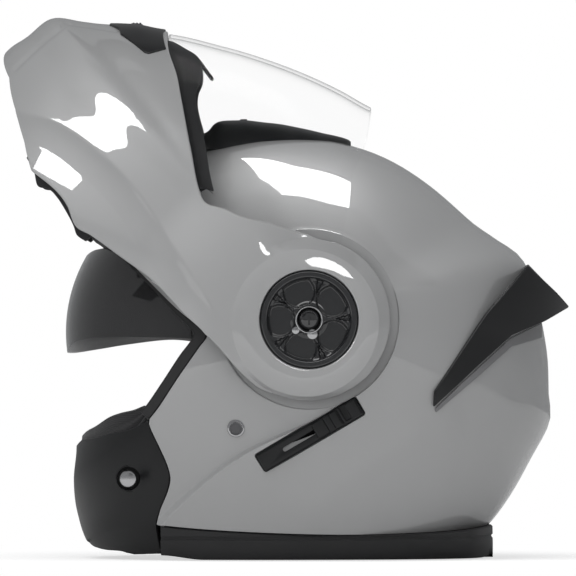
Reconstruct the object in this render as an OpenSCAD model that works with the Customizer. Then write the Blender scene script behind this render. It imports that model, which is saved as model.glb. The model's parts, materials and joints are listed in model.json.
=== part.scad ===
// Modular motorcycle helmet with its chin bar raised. Millimetres, +Z up, the helmet faces -X.
// Every skin is a rounded dome about the cross axis of the chin bar pivots: a station gives the
// reach from that axis at one angle (0 = rear, 90 = up, 180 = front) and how full the sides are.

/* [Placing] */
// Height of the chin bar pivots above the ground
pivot_z = 142.8; // [138:0.2:148]
// Pivots behind the middle of the raised helmet
pivot_x = 13; // [5:0.5:20]

/* [Shell] */
// Half the width of the shell
shell_half_w = 119; // [117.5:0.5:124]
// Wall of the shell
shell_t = 3.5; // [2.8:0.1:4.2]
// Reach of the shell above the pivots
crown_reach = 108.5; // [104:0.5:110]
// Reach of the shell at the brow
brow_reach = 141.2; // [140.5:0.1:141.6]
// Reach of the shell at the rear
rear_reach = 139.5; // [136:0.5:146]
// Depth of the step that the closed chin bar lies in
step_depth = 6; // [5.5:0.1:7]
// Thickness of the impact foam
foam_t = 30; // [24:1:34]
// Thickness of the comfort lining
lining_t = 8; // [5:0.5:10]

/* [Chin bar] */
// How far the arms of the chin bar stand outside the shell
arm_over = 1; // [0.8:0.1:3]
// Wall of the chin bar
arm_t = 3.6; // [3:0.1:3.9]
// Reach of the chin from the pivots
chin_reach = 242; // [236:1:246]
// Angle through which the chin bar closes
close_angle = 70; // [60:1:70]
// Foot radius of the round arm ends
pod_foot_r = 48; // [46:0.5:49.5]
// Face radius of the round arm ends
pod_face_r = 42.5; // [40:0.5:45]
// Rise of the face of the round arm ends over the arms
pod_rise = 6.5; // [5.8:0.1:9]

/* [Pivots] */
// Radius of the pivot boss
boss_r = 11; // [8:0.5:14]
// Radius of the side caps
cap_r = 29; // [25:0.5:33]
// Radius of the head of the pivot screws
screw_head_r = 7; // [5.5:0.25:7.5]
// Radius of the shank of the pivot screws
screw_r = 3; // [2:0.25:4]
// Running fit of bores on their pins
fit = 0.05; // [0.02:0.01:0.1]

/* [Visors] */
// Play between the clear visor and the arms
visor_play = 0.5; // [0.4:0.05:0.7]
// Thickness of the clear visor
visor_t = 2.2; // [1.6:0.1:2.4]
// Reach of the clear visor at its upper edge
visor_top_reach = 132.7; // [132:0.1:134]
// Radius of the sun visor about its own hinge
sun_r = 90.5; // [88:0.25:90.75]
// How far the sides of the sun visor lie inside the shell's width
sun_inset = 22; // [21:0.5:25]
// Thickness of the sun visor
sun_t = 2; // [1.5:0.1:2.4]
// Radius of the hinge pins of the sun visor
sun_pin_r = 3; // [2:0.25:4]

/* [Controls] */
// Length of the sun visor slider plate
plate_l = 69; // [60:1:72]
// Width of the sun visor slider plate
plate_w = 12.5; // [11:0.5:15]
// Travel of the sun visor slider
slide_travel = 20; // [16:1:21]
// Travel of the chin bar release button
button_travel = 3; // [2:0.25:4]
// Travel of the top vent slider
vent_travel = 6; // [4:0.5:8]

/* [Fittings] */
// Radius of the head of the latch studs
stud_r = 5; // [4:0.25:5.5]
// Radius of the chin strap rivets
rivet_r = 5.4; // [4.5:0.2:6]
// Width of the chin strap
strap_w = 24; // [18:1:26]
// Thickness of the chin strap
strap_t = 2; // [1.4:0.1:2.6]

/* [Hidden] */
$fn = 64;

arm_half_w = shell_half_w + arm_over;        // half the width over the arms
pod_face_y = arm_half_w + pod_rise;          // face of the round arm ends
visor_half_w = arm_half_w - arm_t - visor_play;
sun_half_w = shell_half_w - sun_inset;
base_half_w = shell_half_w - step_depth - 0.5;
gap = 0.3;                                   // clearance between neighbouring pieces
wide = 150;                                  // past either side of the helmet
pocket_r = pod_foot_r + 5;                   // pocket in the shell under an arm end
pocket_y = shell_half_w - 8;                 // floor of that pocket
plate_t = 2.0;                               // pivot plate on the pocket floor
boss_y = arm_half_w + 0.4;                   // outer end of the pivot boss
cap_floor_y = arm_half_w + 0.6;              // floor of the cap's recess in the arm end
sun_x = -55.2;                               // sun visor hinge from the pivots
sun_z = -7.8;
step_angle = 231;                            // front step of the shell, far from the pivot
step_ramp = 1.6;                               // angle over which the step rises
step_bend = 9e6;                             // how the step bends back round the arm end
stud_at = [-107.2, -94.6];                   // latch stud from the pivots
rivet_at = [-43.2, -64.4];                   // chin strap rivet from the pivots
plate_at = [0.6, -68.1];                     // middle of the slider plate from the pivots
plate_tilt = 30.5;                           // rise of the slider plate to the rear
ground = -pivot_z;

// Interpolation.
function catmull(a, b, c, d, t) =
    0.5 * (2 * b + (c - a) * t + (2 * a - 5 * b + 4 * c - d) * t * t
           + (3 * b - a - 3 * c + d) * t * t * t);
function station(p, i) =
    let (n = len(p), turn = floor(i / n)) p[i - turn * n] + [360 * turn, 0, 0];
function smooth_stations(p, k = 4) =
    [for (i = [-2:len(p) + 1], j = [0:k - 1])
        catmull(station(p, i - 1), station(p, i), station(p, i + 1), station(p, i + 2), j / k)];
function pick(table, column) = [for (s = table) [s[0], s[column]]];
function smooth_line(p, k = 3) =
    let (n = len(p))
    concat([for (i = [0:n - 2], j = [0:k - 1])
        catmull(p[max(i - 1, 0)], p[i], p[i + 1], p[min(i + 2, n - 1)], j / k)], [p[n - 1]]);
function backward(p) = [for (i = [len(p) - 1:-1:0]) p[i]];
function turned(p, a) =
    [for (q = p) [q[0] * cos(a) - q[1] * sin(a), q[0] * sin(a) + q[1] * cos(a)]];
function polar(r, a) = [r * cos(a), r * sin(a)];
function ramp(x) = let (u = max(0, min(1, x))) u * u * (3 - 2 * u);
function even(first, last, count) = [for (i = [0:count - 1]) first + (last - first) * i / (count - 1)];

// Stations of the skins: [angle, reach, fullness of the sides].
shell_stations = smooth_stations([
    [0, rear_reach, 2.2], [15, rear_reach - 6, 2.2], [24, rear_reach - 18.5, 2.2],
    [33, crown_reach + 4, 2.2], [50, crown_reach, 2.2], [75, crown_reach - 0.5, 2.2],
    [93, crown_reach + 0.1, 2.3], [113, crown_reach + 6, 2.4], [130, crown_reach + 14.5, 2.5],
    [146, brow_reach - 11.7, 2.5], [160, brow_reach, 2.5], [178, 165, 2.5], [196, 195, 2.5],
    [215, 210, 2.5], [240, 212, 2.5], [270, 190, 2.5], [300, 168, 2.5], [312, 163.5, 2.45],
    [327, 157.5, 2.4], [337, 157, 2.35], [343, 150.5, 2.3], [351, rear_reach + 5.5, 2.2]]);
rim_stations = smooth_stations([
    [0, 160, 2.2], [120, 150, 2.2], [215, 208, 2.5], [240, 211, 2.5], [270, 190, 2.5],
    [290, 182, 2.5], [303, 179, 2.45], [312, 176, 2.4], [322, 170, 2.4], [340, 164, 2.3]]);
spoiler_stations = smooth_stations([
    [0, 158, 2], [18, 158, 2], [60, 150, 2], [180, 150, 2.2], [300, 165, 2.4], [322, 162.5, 2.4],
    [332, 161, 2.35], [343, 157, 2.2], [352, 157, 2.05]]);
chin_stations = smooth_stations([
    [0, 200, 3], [64, 190, 3], [90, chin_reach - 58, 3], [106, chin_reach - 58, 3],
    [116, chin_reach - 50.2, 2.85],
    [124, chin_reach - 29, 2.75], [127.2, chin_reach - 18.2, 2.65], [130.5, chin_reach - 5, 2.6],
    [134.9, chin_reach - 3, 2.5], [138.8, chin_reach, 2.45], [146, chin_reach - 3, 2.45],
    [155, chin_reach - 10, 2.5], [165, chin_reach - 17, 2.5], [200, chin_reach - 17, 2.6],
    [256, chin_reach - 17, 2.8], [310, 208, 3]]);
visor_stations = smooth_stations([
    [0, 131, 3.2], [45, 131, 3.2], [65, visor_top_reach - 1, 3.2], [73.9, visor_top_reach, 3.1],
    [82, 138.5, 3], [90.4, 146.6, 3], [98.1, 156.2, 3], [104.5, 166.2, 2.95],
    [109.5, chin_reach - 66.6, 2.9], [116, chin_reach - 52, 2.85], [124, chin_reach - 34, 2.75],
    [135, chin_reach - 20, 2.7], [165, chin_reach - 18, 2.7],
    [256, 200, 3], [310, 150, 3]]);
base_stations = smooth_stations([
    [0, 150, 2.2], [90, 140, 2.2], [150, 140, 2.2], [190, 146, 2.2], [200, 150, 2.2],
    [208.5, 158.5, 2.2], [214.5, 171, 2.25], [220, 181, 2.3], [227, 190, 2.4],
    [240, 196, 2.5], [270, 190, 2.5], [300, 165, 2.4]]);

// Skins.
// One ring of a dome at across = -1 (near side) to 1 (far side).
function ring(table_r, table_n, half_w, d, angles, across) =
    let (f = 90 * across)
    [for (a = angles)
        let (n = lookup(a, table_n), r = (lookup(a, table_r) - d) * pow(cos(f), 2 / n))
        [r * cos(a), (half_w - d) * sign(across) * pow(abs(sin(f)), 2 / n), r * sin(a)]];
function dome_faces(na, nt) =
    let (last = 1 + (nt - 1) * na)
    concat([for (j = [0:na - 1]) [0, 1 + (j + 1) % na, 1 + j]],
        [for (k = [0:nt - 3], j = [0:na - 1])
            let (a = 1 + k * na + j, b = 1 + k * na + (j + 1) % na) each
            [[a, b, b + na], [a, b + na, a + na]]],
        [for (j = [0:na - 1])
            let (o = 1 + (nt - 2) * na) [last, o + j, o + (j + 1) % na]]);
// A closed dome, d inside the named skin. Its rows are angles, its columns go across.
module dome(stations, half_w, d = 0, angles = even(0, 352, 45), nt = 20) {
    table_r = pick(stations, 1);
    table_n = pick(stations, 2);
    points = concat([[0, d - half_w, 0]],
        [for (k = [1:nt - 1]) each ring(table_r, table_n, half_w, d, angles, 2 * k / nt - 1)],
        [[0, half_w - d, 0]]);
    polyhedron(points, dome_faces(len(angles), nt));
}
// The shell's own skin has the step: full width behind it, narrower in front of it.
function step_shift(r, a) =
    min(60, step_bend / pow(max(r, 30), 3)) * max(0, 1 - abs(a - step_angle) / 120);
function shell_half(a) = shell_half_w - (a > step_angle ? 0 : step_depth * ramp((a - 100) / 50));
function shell_point(table_r, table_n, a, across, d) =
    let (f = 90 * across,
         turn = a > 360 ? a - 360 : a,
         r0 = lookup(turn, table_r) * pow(cos(f), 2 / lookup(turn, table_n)),
         b = turn + step_shift(r0, turn),
         n = lookup(b, table_n),
         r = (lookup(b, table_r) - d) * pow(cos(f), 2 / n),
         w = (a > 360 ? shell_half_w : shell_half(turn)) - d)
    [r * cos(b), w * sign(across) * pow(abs(sin(f)), 2 / n), r * sin(b)];
module shell_dome(d = 0, na = 46, nt = 20) {
    table_r = pick(shell_stations, 1);
    table_n = pick(shell_stations, 2);
    angles = even(step_angle + step_ramp / 2, step_angle - step_ramp / 2 + 360, na);
    points = concat([[0, d - shell_half_w, 0]],
        [for (k = [1:nt - 1], a = angles)
            shell_point(table_r, table_n, a > 360 ? a - 360 : a, 2 * k / nt - 1, d)],
        [[0, shell_half_w - d, 0]]);
    polyhedron(points, dome_faces(na, nt));
}
module chin_dome(d = 0, na = 60, nt = 20)
    dome(chin_stations, arm_half_w, d, angles = concat(even(0, 108, 13), even(113, 167, 28),
         even(174, 348, 18)), nt = nt);
module visor_dome(d = 0, nt = 20)
    dome(visor_stations, visor_half_w, d, angles = concat(even(0, 54, 7), even(60, 138, 27),
         even(150, 348, 18)), nt = nt);
module rim_dome(d = 0) dome(rim_stations, shell_half_w - 1, d);
base_t = 3;                                  // wall of the chin base
module base_dome(d = 0)
    dome(base_stations, base_half_w, d, nt = 20);
// The sun visor turns about its own hinge, so its skin is round about that.
module sun_dome(d = 0)
    translate([sun_x, 0, sun_z])
        dome([for (a = [-8, 180, 368]) [a, sun_r, 2.4]], sun_half_w, d, nt = 22);

// Placing and cutting.
module at_pivot() translate([pivot_x, 0, pivot_z]) children();
module both_sides() {
    children();
    mirror([0, 1, 0]) children();
}
module slab(outline, thick = 2 * wide)
    rotate([90, 0, 0]) linear_extrude(thick, center = true) polygon(outline);
// A pin or bore along Y on the near side, from one distance off the middle plane to another.
module cross_pin(r, from, to, at = [0, 0], r_out = -1)
    translate([at[0], -from, at[1]]) rotate([90, 0, 0])
        cylinder(r1 = r, r2 = r_out < 0 ? r : r_out, h = to - from);
module near_half(outline, from = 0)
    translate([0, -from, 0]) rotate([90, 0, 0]) linear_extrude(wide) polygon(outline);
// Distance of a skin from the middle plane over a point of its side view.
function bearing(at) = let (a = atan2(at[1], at[0])) a < 0 ? a + 360 : a;
function skin_y(stations, half_w, at, d = 0) =
    let (n = lookup(bearing(at), pick(stations, 2)), reach = lookup(bearing(at), pick(stations, 1)) - d)
    (half_w - d) * pow(max(0, 1 - pow(norm(at) / reach, n)), 1 / n);
function shell_y(at, d = 0) =
    skin_y(shell_stations, shell_half(bearing(at) - step_shift(norm(at), bearing(at))), at, d);
// The same over the far side of a disc of radius r about that point.
function outward(at, r) = at * (1 + r / norm(at));

// Outlines seen from the side, from the pivots. Those of the chin bar follow the chin's reach:
// a point near the pivots stays, one at the chin moves with it.
drawn_reach = 242;                           // chin reach that the outlines are drawn for
function with_chin(p) = [for (q = p) q * (1 + (chin_reach / drawn_reach - 1) * min(1, norm(q) / 150))];
face_edge = smooth_line([[-131.5, 50], [-116.8, 45], [-98.2, 26], [-78, 6], [-64, -5], [-60.4, -10],
    [-65.2, -17], [-77.2, -34.2], [-88.5, -51.5], [-95.2, -60]]);
front_edge = smooth_line([[-95.2, -60], [-93.4, -65.4], [-88, -76.8], [-83.8, -86.4],
    [-82, -94.5], [-83.8, -102.6], [-88, -112.8], [-90.4, -121.8]]);
rim_line = smooth_line([[-90.4, -121.8], [-64, -124.2], [-34, -126], [0, -127.3], [31, -127.6],
    [67, -126.6], [91, -125.2], [108.5, -123]]);
shell_outline = concat([[-200, 50]], face_edge, front_edge, rim_line, [[200, -118], [200, 200],
    [-200, 200]]);
lining_edge = smooth_line([[-128.4, 46.4], [-115.2, 41], [-97, 22.5], [-81, 5], [-70, -6],
    [-69.8, -11.4], [-77.2, -21.6], [-86.2, -35.4], [-96.4, -50.4], [-100.5, -54.5]]);
stud_floor_y = base_half_w - 37;             // floor of the recess round a latch stud
stud_neck_y = stud_floor_y + 14.1;           // underside of the head of a latch stud
strap_y = shell_half_w - 16.8;               // chin strap under its rivet
hook_y = stud_neck_y - 2.6;                  // inner face of a latch hook
chin_front = with_chin([[-167.2, 88.8], [-182.6, 161], [-200, 175], [-190, 190], [-84.4, 190],
    [-84.4, 172.2]]);
eyeport_edge = with_chin(smooth_line([[-84.4, 172.2], [-83.2, 160.2], [-78.4, 145.8],
    [-75.4, 130.2], [-70, 101.4], [-65.2, 77.4], [-61, 69], [-50.8, 66], [-40, 61.2], [-25, 57.6],
    [-5.2, 51.6], [14.6, 44.4], [24, 38]]));
arm_lower_edge = with_chin(smooth_line([[-11.2, -47], [-28, -41.4], [-41.2, -30.6], [-53.2, -16.8],
    [-65.2, -4.8], [-74.2, 3], [-83.2, 12.6], [-95.2, 24.6], [-113.2, 37.8], [-129.4, 49.2],
    [-139.6, 55.2], [-144.4, 67.2], [-152.2, 77.4], [-164.8, 88.4]]));
chin_outline = concat(chin_front, eyeport_edge, arm_lower_edge);

// Shell group.
module pocket_cut() both_sides() cross_pin(pocket_r, pocket_y, wide);
module slider_frame(out = 0)
    translate([plate_at[0], 0, plate_at[1]]) rotate([0, -plate_tilt, 0])
        translate([0, -out, 0]) children();
rivet_seat_y = shell_y(rivet_at) - 1.2;       // spot face under a rivet head
plate_y = shell_y(plate_at) - 1.6;           // outer face of the slider plate
plate_depth = 2.4;
plate_back = 3;                              // wall of the shell behind the slider plate
rim_t = 6;                                   // thickness of the black rim
module outer_shell() color("gray") at_pivot() difference() {
    intersection() {
        shell_dome();
        slab(shell_outline);
    }
    difference() {
        shell_dome(shell_t);
        both_sides() cross_pin(pocket_r + shell_t, pocket_y - shell_t, wide);
        slider_frame(plate_y) translate([-plate_l / 2 - 3, 0, -plate_w / 2 - 3])
            cube([plate_l + 6, plate_depth + plate_back, plate_w + 6]);
    }
    pocket_cut();
    both_sides() {
        cross_pin(screw_r + 1, pocket_y - 20, wide);
        cross_pin(rivet_r * 0.5 + gap, 60, wide, rivet_at);
        cross_pin(rivet_r + gap, rivet_seat_y, wide, rivet_at);
    }
    slider_frame(plate_y - plate_depth)
        translate([-plate_l / 2 - gap, -30, -plate_w / 2 - gap])
            cube([plate_l + 2 * gap, 30, plate_w + 2 * gap]);
    slider_frame(plate_y) knob_slot(20);
    translate([-36, 0, crown_reach]) cube([10, 16, 40], center = true);
}
module sun_chamber() difference() {
    translate([sun_x, 0, sun_z]) slab([[11.5, -12], polar(150, 190), polar(220, 150),
        polar(200, 120), polar(150, 95), [11.5, 30]]);
    sun_dome(sun_t + 1.6);
}
cheek_y = shell_half_w - 51;                 // inner face of a cheek pad
cheek_outline = smooth_line([[-74, -103], [-77, -85], [-75, -60], [-64, -34], [-54, -20],
    [-34, -17], [-22, -42], [-15, -60], [-15, -96], [-26, -105], [-50, -106], [-74, -103]], 2);
foam_outline = concat([[-200, 42], [-127, 42], [-93, 18], [-57, -9], [-57, -14], [-74, -36],
    [-85, -62], [-76, -95], [-70, -112]], [[-58, -123], [0, -125.5], [67, -124.6], [104, -121.5],
    [200, -112], [200, 200], [-200, 200]]);
module eps_liner() color("dimgray") at_pivot() difference() {
    intersection() {
        shell_dome(shell_t + 4 * gap, na = 36, nt = 16);
        slab(foam_outline);
    }
    shell_dome(shell_t + foam_t, na = 36, nt = 16);
    sun_chamber();
    both_sides() {
        cross_pin(pocket_r + shell_t + 2, pocket_y - shell_t - gap, wide);
        cross_pin(screw_r + 4, pocket_y - shell_t - 8, wide);
        translate([0, -cheek_y, 0]) rotate([90, 0, 0]) linear_extrude(wide)
            offset(delta = 2 * gap) polygon(cheek_outline);
        near_half([[-110, -150], [-110, -14], [-54, -14], [-70, -60], [-60, -105],
            [rivet_at[0] - 2, rivet_at[1]], [-15, -105], [-20, -150]], cheek_y - 8);
    }
    slider_frame(plate_y) translate([-plate_l / 2 - 4, -20, -plate_w / 2 - 4])
        cube([plate_l + 8, 20 + plate_depth + plate_back + 4, plate_w + 8]);
}
module crown_pad() color("black") at_pivot() difference() {
    intersection() {
        shell_dome(shell_t + foam_t + gap, na = 36, nt = 16);
        translate([-62, -70, 18]) cube([150, 140, 100]);
        slab([[-62, 45], [-20, 20], [88, 20], [88, 120], [-62, 120]]);
    }
    shell_dome(shell_t + foam_t + lining_t, na = 36, nt = 16);
}
strap_channel_y = shell_half_w - 26.5;       // bottom of the channel for the strap in a cheek pad
module cheek_pad() difference() {
    intersection() {
        shell_dome(shell_t + 6, na = 36, nt = 16);
        near_half(cheek_outline, cheek_y);
        translate([-45, -cheek_y - 36, -64]) rotate([90, 0, 0])
            scale([1, 1, 0.6]) sphere(r = 62, $fn = 40);
    }
    translate([rivet_at[0] - strap_w / 2 - 1, -wide, -wide])
        cube([strap_w + 2, wide - strap_channel_y, wide + rivet_at[1] + 16]);
}
module cheek_pad_left() color("black") at_pivot() cheek_pad();
module cheek_pad_right() color("black") at_pivot() mirror([0, 1, 0]) cheek_pad();
module neck_roll() color("black") at_pivot() difference() {
    intersection() {
        shell_dome(shell_t + foam_t + gap, na = 36, nt = 16);
        slab([[25, -124], [25, -95], [140, -80], [140, -119], [96, -121], [60, -123.5]]);
    }
    shell_dome(shell_t + foam_t + lining_t + 4, na = 36, nt = 16);
}
// Black edge of the face opening: narrow under the brow, wide in front of the cheek.
module face_trim() color("black") at_pivot() difference() {
    intersection() {
        shell_dome(1);
        slab(concat(face_edge, backward(lining_edge)));
    }
    shell_dome(shell_t + 4);
    sun_dome(-0.8);
}
module base_trim() color("black") at_pivot() difference() {
    intersection() {
        rim_dome();
        slab(concat([for (p = rim_line) p - [0, gap]],
            [[109, -126.6], [112, -134], [108, -138.6], [84, ground], [-60, ground],
             [-86.5, -140.4]]));
    }
    rim_dome(rim_t);
}
chin_base_lip = [3, 4];                      // lip in front of and behind the shell's edge
chin_base_lip_z = [-120.8, -68.8];           // its two ends
module chin_base() color("black") at_pivot() difference() {
    union() {
        chin_base_skin();
        intersection() {
            shell_dome(shell_t);
            slab(concat([for (p = front_edge) p - [chin_base_lip[0], 0]],
                [for (p = backward(front_edge)) p + [chin_base_lip[1], 0]]));
            translate([-wide, -wide, chin_base_lip_z[0]])
                cube([2 * wide, 2 * wide, chin_base_lip_z[1] - chin_base_lip_z[0]]);
        }
    }
    difference() {
        base_dome(base_t);
        both_sides() cross_pin(stud_r + 6, stud_floor_y - 9, wide, stud_at);
    }
    both_sides() {
        cross_pin(stud_r + 2.2, stud_floor_y, wide, stud_at);
        cross_pin(stud_neck_r, stud_floor_y - 10, wide, stud_at);
    }
}
module chin_base_skin()
    intersection() {
        base_dome();
        slab(concat([[-200, -76.2], [-139.6, -76.2], [-136, -72], [-119.2, -67.8],
            [-107.2, -65.4], [-97, -60.4]],
            [for (p = front_edge) p - [gap, 0]], [[-88, -140.6], [-131, -137.4],
            [-134, -131], [-200, -131]]));
    }
module chin_base_lining() color("black") at_pivot() difference() {
    intersection() {
        base_dome(base_t + gap);
        slab([[-200, -69], [-135.4, -69], [-128.2, -64.8], [-120.4, -59.4], [-113.2, -57],
            [-103, -55], [-94, -64], [-90, -78], [-86, -92], [-110, -100], [-200, -100]]);
    }
    base_dome(base_t + gap + 5);
    both_sides() cross_pin(stud_r + 6 + gap, 20, wide, stud_at);
}
module latch_strikers() color("silver") at_pivot() both_sides() {
    cross_pin(stud_r, stud_neck_y, stud_neck_y + 2.4, stud_at);
    cross_pin(stud_neck_r, stud_floor_y - 10, stud_neck_y, stud_at);
}
module strap_rivets() color("silver") at_pivot() both_sides() {
    cross_pin(rivet_r, rivet_seat_y, rivet_seat_y + 2.2, rivet_at, rivet_r * 0.85);
    cross_pin(rivet_r * 0.5, strap_y - strap_t / 2 - 1, rivet_seat_y + 1, rivet_at);
    cross_pin(rivet_r * 0.9, strap_y - strap_t / 2 - 1.2, strap_y - strap_t / 2 - 0.2, rivet_at);
}
module rear_spoiler() color("black") at_pivot() difference() {
    intersection() {
        dome(spoiler_stations, shell_half_w + 3);
        slab([[131.6, 33], [140, 24.6], [147.8, 16.2], [156.2, 7.2], [141.2, -1.2],
            [120.8, -9.6], [100, -28], [74, -52], [74.6, -42.6], [105.8, 3.6]]);
    }
    shell_dome(-gap);
}
module exhaust_strip() color("gray") at_pivot() difference() {
    intersection() {
        shell_dome(-1.6);
        slab([[141.2, -1.8], [120.8, -10.4], [100, -28.9], [74, -53], [74.6, -55.4],
            [102.8, -31.5], [120.8, -15.6], [160, -8], [160, -1.8]]);
    }
    shell_dome(-gap);
}
// Loft along X: each station is [x, half width, height of the top, height of the shoulders].
module loft(p) {
    side = [for (s = p) [[s[0], -s[1], s[3] - 30], [s[0], -s[1], s[3]],
        [s[0], -s[1] * 0.55, s[2]], [s[0], s[1] * 0.55, s[2]], [s[0], s[1], s[3]],
        [s[0], s[1], s[3] - 30]]];
    n = len(p);
    polyhedron([for (s = side) each s],
        concat([[5, 4, 3, 2, 1, 0]], [[for (i = [0:5]) (n - 1) * 6 + i]],
            [for (k = [0:n - 2], i = [0:5])
                let (a = k * 6 + i, b = k * 6 + (i + 1) % 6) each
                [[a, b, b + 6], [a, b + 6, a + 6]]]));
}
module top_vent_base() color("black") at_pivot() difference() {
    loft([[-63, 24, 112, 108], [-58, 28, 112.6, 108], [-52, 31, 118.6, 108], [-37, 32, 119.4, 108],
        [-17, 30, 117, 108], [-7, 27, 115, 107], [9, 23, 111.5, 106], [23, 15, 108, 105],
        [26, 10, 106, 104]]);
    shell_dome(-gap);
    translate([-44, 0, 118]) rotate([0, -1.5, 0])
        cube([17 + vent_travel, 22 + 2 * gap, 6], center = true);
}
module top_vent_slider() color("dimgray") at_pivot() {
    translate([-44 + vent_travel / 2 - gap, 0, 117]) rotate([0, -1.5, 0])
        cube([16, 22, 2.4], center = true);
    translate([-39, 0, 118.6]) rotate([0, -1.5, 0]) cube([4, 16, 2.4], center = true);
}
sun_outline = concat([[6, -6], [-15.9, -5.2], [-28.5, -4.4], [-52.5, -7.2], [-70.5, -10.2],
    [-87.3, -13.2], [-90, -13], [-110, -13]], [polar(130, 165), polar(110, 143), polar(60, 135),
    [-8, 12], [6, 8]]);
module sun_visor() color("dimgray") at_pivot() difference() {
    intersection() {
        sun_dome();
        translate([sun_x, 0, sun_z]) slab(sun_outline);
    }
    sun_dome(sun_t);
    both_sides() cross_pin(sun_pin_r + fit, 50, wide, [sun_x, sun_z]);
}
module sun_visor_pins() color("black") at_pivot() both_sides() {
    cross_pin(sun_pin_r, sun_half_w - sun_t - 1, sun_half_w + 1, [sun_x, sun_z]);
    cross_pin(sun_pin_r + 1.8, sun_half_w + 0.8,
        min(shell_y(outward([sun_x, sun_z], sun_pin_r + 1.8), shell_t), pocket_y - shell_t) - gap,
        [sun_x, sun_z]);
}
knob_x = 8;                                  // knob along the plate with the sun visor down
module slider_plate() color("black") at_pivot() slider_frame(plate_y) difference() {
    union() {
        translate([-plate_l / 2, 0, -plate_w / 2])
            cube([plate_l, plate_depth - gap, plate_w]);
        translate([plate_l / 2 - 14, -1.6, -plate_w / 2]) cube([12, 1.8, plate_w]);
    }
    knob_slot(20);
}
module knob_slot(depth)
    translate([knob_x - slide_travel - 5, -depth, -2]) cube([slide_travel + 10, 2 * depth, 4]);
module slider_knob() color("black") at_pivot() slider_frame(plate_y + gap) {
    translate([knob_x - 4, 0, -1.6]) cube([8, plate_depth + plate_back + 2, 3.2]);
    for (i = [0:2])
        translate([knob_x - 7 + i * 5, -2.4 + 0.4 * i, -plate_w / 2 + 1])
            cube([4.6, 2.4 - 0.4 * i, plate_w - 2]);
    translate([knob_x - 7, -1, -plate_w / 2 + 1]) cube([14.6, 1, plate_w - 2]);
}

// Pivots.
module pivot_plate() difference() {
    union() {
        cross_pin(cap_r - 3, pocket_y, pocket_y + plate_t);
        cross_pin(boss_r, pocket_y, boss_y);
    }
    cross_pin(screw_r + fit, pocket_y - 1, wide);
}
module pivot_plate_left() color("dimgray") at_pivot() pivot_plate();
module pivot_plate_right() color("dimgray") at_pivot() mirror([0, 1, 0]) pivot_plate();
module pivot_screws() color("silver") at_pivot() both_sides() {
    cross_pin(screw_head_r, boss_y, boss_y + 3.4);
    cross_pin(screw_head_r, boss_y + 3.4, boss_y + 5.4, [0, 0], screw_head_r * 0.6);
    cross_pin(screw_r, pocket_y - shell_t - 5, boss_y);
    cross_pin(screw_r + 2.5, pocket_y - shell_t - 3.5, pocket_y - shell_t);
}
spokes = 5;
// A spoke of the cap widens to the ring and has a narrow groove in its outer half.
module cap_spoke() difference() {
    polygon([polar(cap_r * 0.30, -26), polar(cap_r * 0.44, -12), polar(cap_r * 0.60, -10),
        polar(cap_r * 0.76, -13), polar(cap_r * 0.9, -19), polar(cap_r * 0.92, 0),
        polar(cap_r * 0.9, 19), polar(cap_r * 0.76, 13), polar(cap_r * 0.60, 10),
        polar(cap_r * 0.44, 12), polar(cap_r * 0.30, 26)]);
    polygon([polar(cap_r * 0.52, 0), polar(cap_r * 0.84, -7), polar(cap_r * 0.84, 7)]);
}
module side_cap() difference() {
    union() {
        cross_pin(cap_r, cap_floor_y + gap, cap_floor_y + 2.2);
        difference() {
            cross_pin(cap_r, cap_floor_y, cap_floor_y + 5.4, [0, 0], cap_r - 0.6);
            cross_pin(cap_r - 3.4, cap_floor_y - 1, cap_floor_y + 7);
        }
        cross_pin(screw_head_r + 3, cap_floor_y + 1, cap_floor_y + 4.2);
        for (i = [0:spokes - 1]) translate([0, -cap_floor_y - 1, 0])
            rotate([90, 0, 0]) rotate(i * 360 / spokes + 2) linear_extrude(3.6) cap_spoke();
    }
    cross_pin(screw_head_r + 2 * gap, 100, wide);
}
module side_cap_left() color("black") at_pivot() side_cap();
module side_cap_right() color("black") at_pivot() mirror([0, 1, 0]) side_cap();

// Chin bar group.
module chin_bar() color("gray") at_pivot() difference() {
    union() {
        intersection() {
            difference() {
                chin_dome();
                chin_dome(arm_t);
            }
            union() {
                slab(chin_outline);
                rotate([90, 0, 0]) cylinder(r = pod_foot_r - 1, h = 2 * wide, center = true);
            }
        }
        both_sides() cross_pin(pod_foot_r, arm_half_w - arm_t + 0.2, pod_face_y,
            [0, 0], pod_face_r);
    }
    both_sides() {
        cross_pin(boss_r + fit, 60, wide);
        cross_pin(cap_r + gap, cap_floor_y, wide);
        cross_pin(pocket_r + 12, 60, arm_half_w - arm_t + 0.1);
    }
    at_button() cube([button_l + 2 * gap, button_w + 2 * gap, 30], center = true);
}
// The release button lies in the front face of the chin bar, close to its lower edge.
button_w = 26;
button_l = 9;
button_at = with_chin([[-174.4, 164.7]])[0];
module at_button() translate([button_at[0], 0, button_at[1]]) rotate([0, -36.2, 0]) children();
liner_outline = with_chin([[-113, 94], [-135, 93], [-150, 98], [-158, 105], [-168, 111],
    [-175, 141], [-180, 163], [-180, 190], [-92, 190], [-91, 160], [-87, 145], [-85, 130],
    [-84, 118],
    [-100, 104]]);
module chin_bar_liner() color("black") at_pivot() difference() {
    intersection() {
        chin_dome(arm_t + gap);
        slab(liner_outline);
    }
    chin_dome(arm_t + 24);
    visor_slot();
    at_button() cube([button_l + 6, button_w + 6, 2 * (button_travel + 12)], center = true);
}
module visor_slot() intersection() {
    visor_dome(-20);
    slab(with_chin([[-93, 200], [-93, 166], [-90, 150], [-86, 130], [-76, 95], [-40, 90],
        [-40, 200]]));
}
gasket_inner = with_chin(smooth_line([[-81.4, 166.2], [-74.2, 162], [-65.2, 155.4],
    [-63.6, 144], [-66.4, 136.2], [-67, 129.6], [-65.8, 122.4], [-63.4, 113.4], [-61, 101.4],
    [-58.6, 86.4], [-56.2, 76.2]], 2));
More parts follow.
